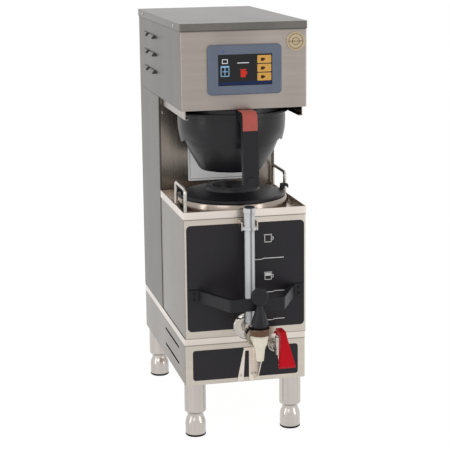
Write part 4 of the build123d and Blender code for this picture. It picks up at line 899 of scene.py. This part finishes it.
class BREWER_OT_stage(bpy.types.Operator):
    """Sets the floor, the lamps, the sky and the camera"""
    bl_idname = "brewer.stage"
    bl_label = "Set the stage"

    def execute(self, context):
        self.floor()
        self.sky(context.scene)
        for lamp in LAMPS:
            self.lamp(*lamp)
        self.camera(context.scene)
        context.scene.view_settings.view_transform = "Standard"
        return {"FINISHED"}

    def floor(self):
        """A pale floor that shows white to the camera but keeps a soft shadow."""
        bm = bmesh.new()
        bmesh.ops.create_circle(bm, cap_ends=True, segments=64, radius=FLOOR_RADIUS,
                                matrix=Matrix.Translation((0.0, 0.0, -FLOOR_DROP)))
        mesh = bpy.data.meshes.new("floor")
        bm.to_mesh(mesh)
        bm.free()
        floor = bpy.data.objects.new("floor", mesh)
        bpy.context.scene.collection.objects.link(floor)
        paint = Paint("finish_floor", Specular_IOR_Level=0.0)
        paint.shader.inputs["Base Color"].default_value = (FLOOR_TONE, FLOOR_TONE, FLOOR_TONE, 1.0)
        paint.shader.inputs["Roughness"].default_value = FLOOR_ROUGHNESS
        rays = paint.tree.nodes.new("ShaderNodeLightPath")
        seen = Wire(paint, rays.outputs["Is Camera Ray"])
        mirrored = Wire(paint, rays.outputs["Is Glossy Ray"])
        through = Wire(paint, rays.outputs["Is Transmission Ray"])
        glow = paint.tree.nodes.new("ShaderNodeEmission")
        glow.inputs["Strength"].default_value = FLOOR_GLOW
        mix = paint.tree.nodes.new("ShaderNodeMixShader")
        shown = paint.maths("MINIMUM", seen + mirrored + through, 1.0)
        paint.feed(mix.inputs[0], shown * FLOOR_GLOW_SHARE)
        paint.tree.links.new(paint.shader.outputs[0], mix.inputs[1])
        paint.tree.links.new(glow.outputs[0], mix.inputs[2])
        paint.tree.links.new(mix.outputs[0], paint.tree.nodes["Material Output"].inputs[0])
        mesh.materials.append(paint.material)

    def sky(self, scene):
        """A white backdrop, and a plain even light for everything else."""
        world = bpy.data.worlds.new("studio")
        world.use_nodes = True
        tree = world.node_tree
        rays = tree.nodes.new("ShaderNodeLightPath")
        seen = tree.nodes.new("ShaderNodeMath")
        seen.operation = "MAXIMUM"
        tree.links.new(rays.outputs["Is Camera Ray"], seen.inputs[0])
        tree.links.new(rays.outputs["Is Glossy Ray"], seen.inputs[1])
        either = tree.nodes.new("ShaderNodeMath")
        either.operation = "MAXIMUM"
        tree.links.new(seen.outputs[0], either.inputs[0])
        tree.links.new(rays.outputs["Is Transmission Ray"], either.inputs[1])
        level = tree.nodes.new("ShaderNodeMath")
        level.operation = "MULTIPLY_ADD"
        tree.links.new(either.outputs[0], level.inputs[0])
        level.inputs[1].default_value = SKY_SEEN_EXTRA
        level.inputs[2].default_value = SKY_LIGHT
        back = tree.nodes["Background"]
        back.inputs[0].default_value = (1.0, 1.0, 1.0, 1.0)
        tree.links.new(level.outputs[0], back.inputs[1])
        scene.world = world

    def lamp(self, name, place, width, height, power):
        """One soft lamp that looks at the brewer's middle."""
        data = bpy.data.lights.new(name, "AREA")
        data.shape = "RECTANGLE"
        data.size = width
        data.size_y = height
        data.energy = power
        lamp = bpy.data.objects.new(name, data)
        bpy.context.scene.collection.objects.link(lamp)
        lamp.location = place
        aim = Vector(LAMP_AIM) - Vector(place)
        lamp.rotation_euler = aim.to_track_quat("-Z", "Y").to_euler()

    def camera(self, scene):
        """The camera, turned, pitched and slightly rolled."""
        data = bpy.data.cameras.new("camera")
        data.sensor_fit = "HORIZONTAL"
        data.sensor_width = SENSOR_WIDTH
        data.lens = FOCAL_PIXELS / PICTURE_PIXELS * SENSOR_WIDTH
        camera = bpy.data.objects.new("camera", data)
        scene.collection.objects.link(camera)
        yaw, pitch, roll = (math.radians(angle)
                            for angle in (CAMERA_YAW, CAMERA_PITCH, CAMERA_ROLL))
        ahead = Vector((-math.sin(yaw) * math.cos(pitch), math.cos(yaw) * math.cos(pitch),
                        -math.sin(pitch)))
        right = ahead.cross(Vector((0.0, 0.0, 1.0))).normalized()
        up = right.cross(ahead)
        tilted = right * math.cos(roll) - up * math.sin(roll)
        upright = tilted.cross(ahead)
        turn = Matrix((tilted, upright, -ahead)).transposed().to_4x4()
        camera.matrix_world = Matrix.Translation(at(*CAMERA_PLACE)) @ turn
        scene.camera = camera


class BREWER_PT_panel(bpy.types.Panel):
    """Lists the brewer's sizes, colours and steps"""
    bl_idname = "BREWER_PT_panel"
    bl_label = "Satellite coffee brewer"
    bl_space_type = "VIEW_3D"
    bl_region_type = "UI"
    bl_category = "Brewer"

    def draw(self, context):
        for group in (context.scene.brewer_sizes, context.scene.brewer_colours):
            column = self.layout.column()
            for key in group.__annotations__:
                column.prop(group, key)
        for step in STEPS:
            self.layout.operator(step.bl_idname)


STEPS = (BREWER_OT_finishes, BREWER_OT_cabinet, BREWER_OT_display, BREWER_OT_card, BREWER_OT_cone,
         BREWER_OT_spray, BREWER_OT_satellite, BREWER_OT_lid, BREWER_OT_gauge, BREWER_OT_faucet,
         BREWER_OT_tap, BREWER_OT_legs, BREWER_OT_stage)
CLASSES = (BrewerSizes, BrewerColours) + STEPS + (BREWER_PT_panel,)


def register():
    for cls in CLASSES:
        bpy.utils.register_class(cls)
    bpy.types.Scene.brewer_sizes = bpy.props.PointerProperty(type=BrewerSizes)
    bpy.types.Scene.brewer_colours = bpy.props.PointerProperty(type=BrewerColours)


def unregister():
    del bpy.types.Scene.brewer_colours
    del bpy.types.Scene.brewer_sizes
    for cls in reversed(CLASSES):
        bpy.utils.unregister_class(cls)


def main():
    register()
    bpy.ops.brewer.finishes()
    bpy.ops.brewer.cabinet()
    bpy.ops.brewer.display()
    bpy.ops.brewer.card()
    bpy.ops.brewer.cone()
    bpy.ops.brewer.spray()
    bpy.ops.brewer.satellite()
    bpy.ops.brewer.lid()
    bpy.ops.brewer.gauge()
    bpy.ops.brewer.faucet()
    bpy.ops.brewer.tap()
    bpy.ops.brewer.legs()
    bpy.ops.brewer.stage()


if __name__ == "__main__":
    main()
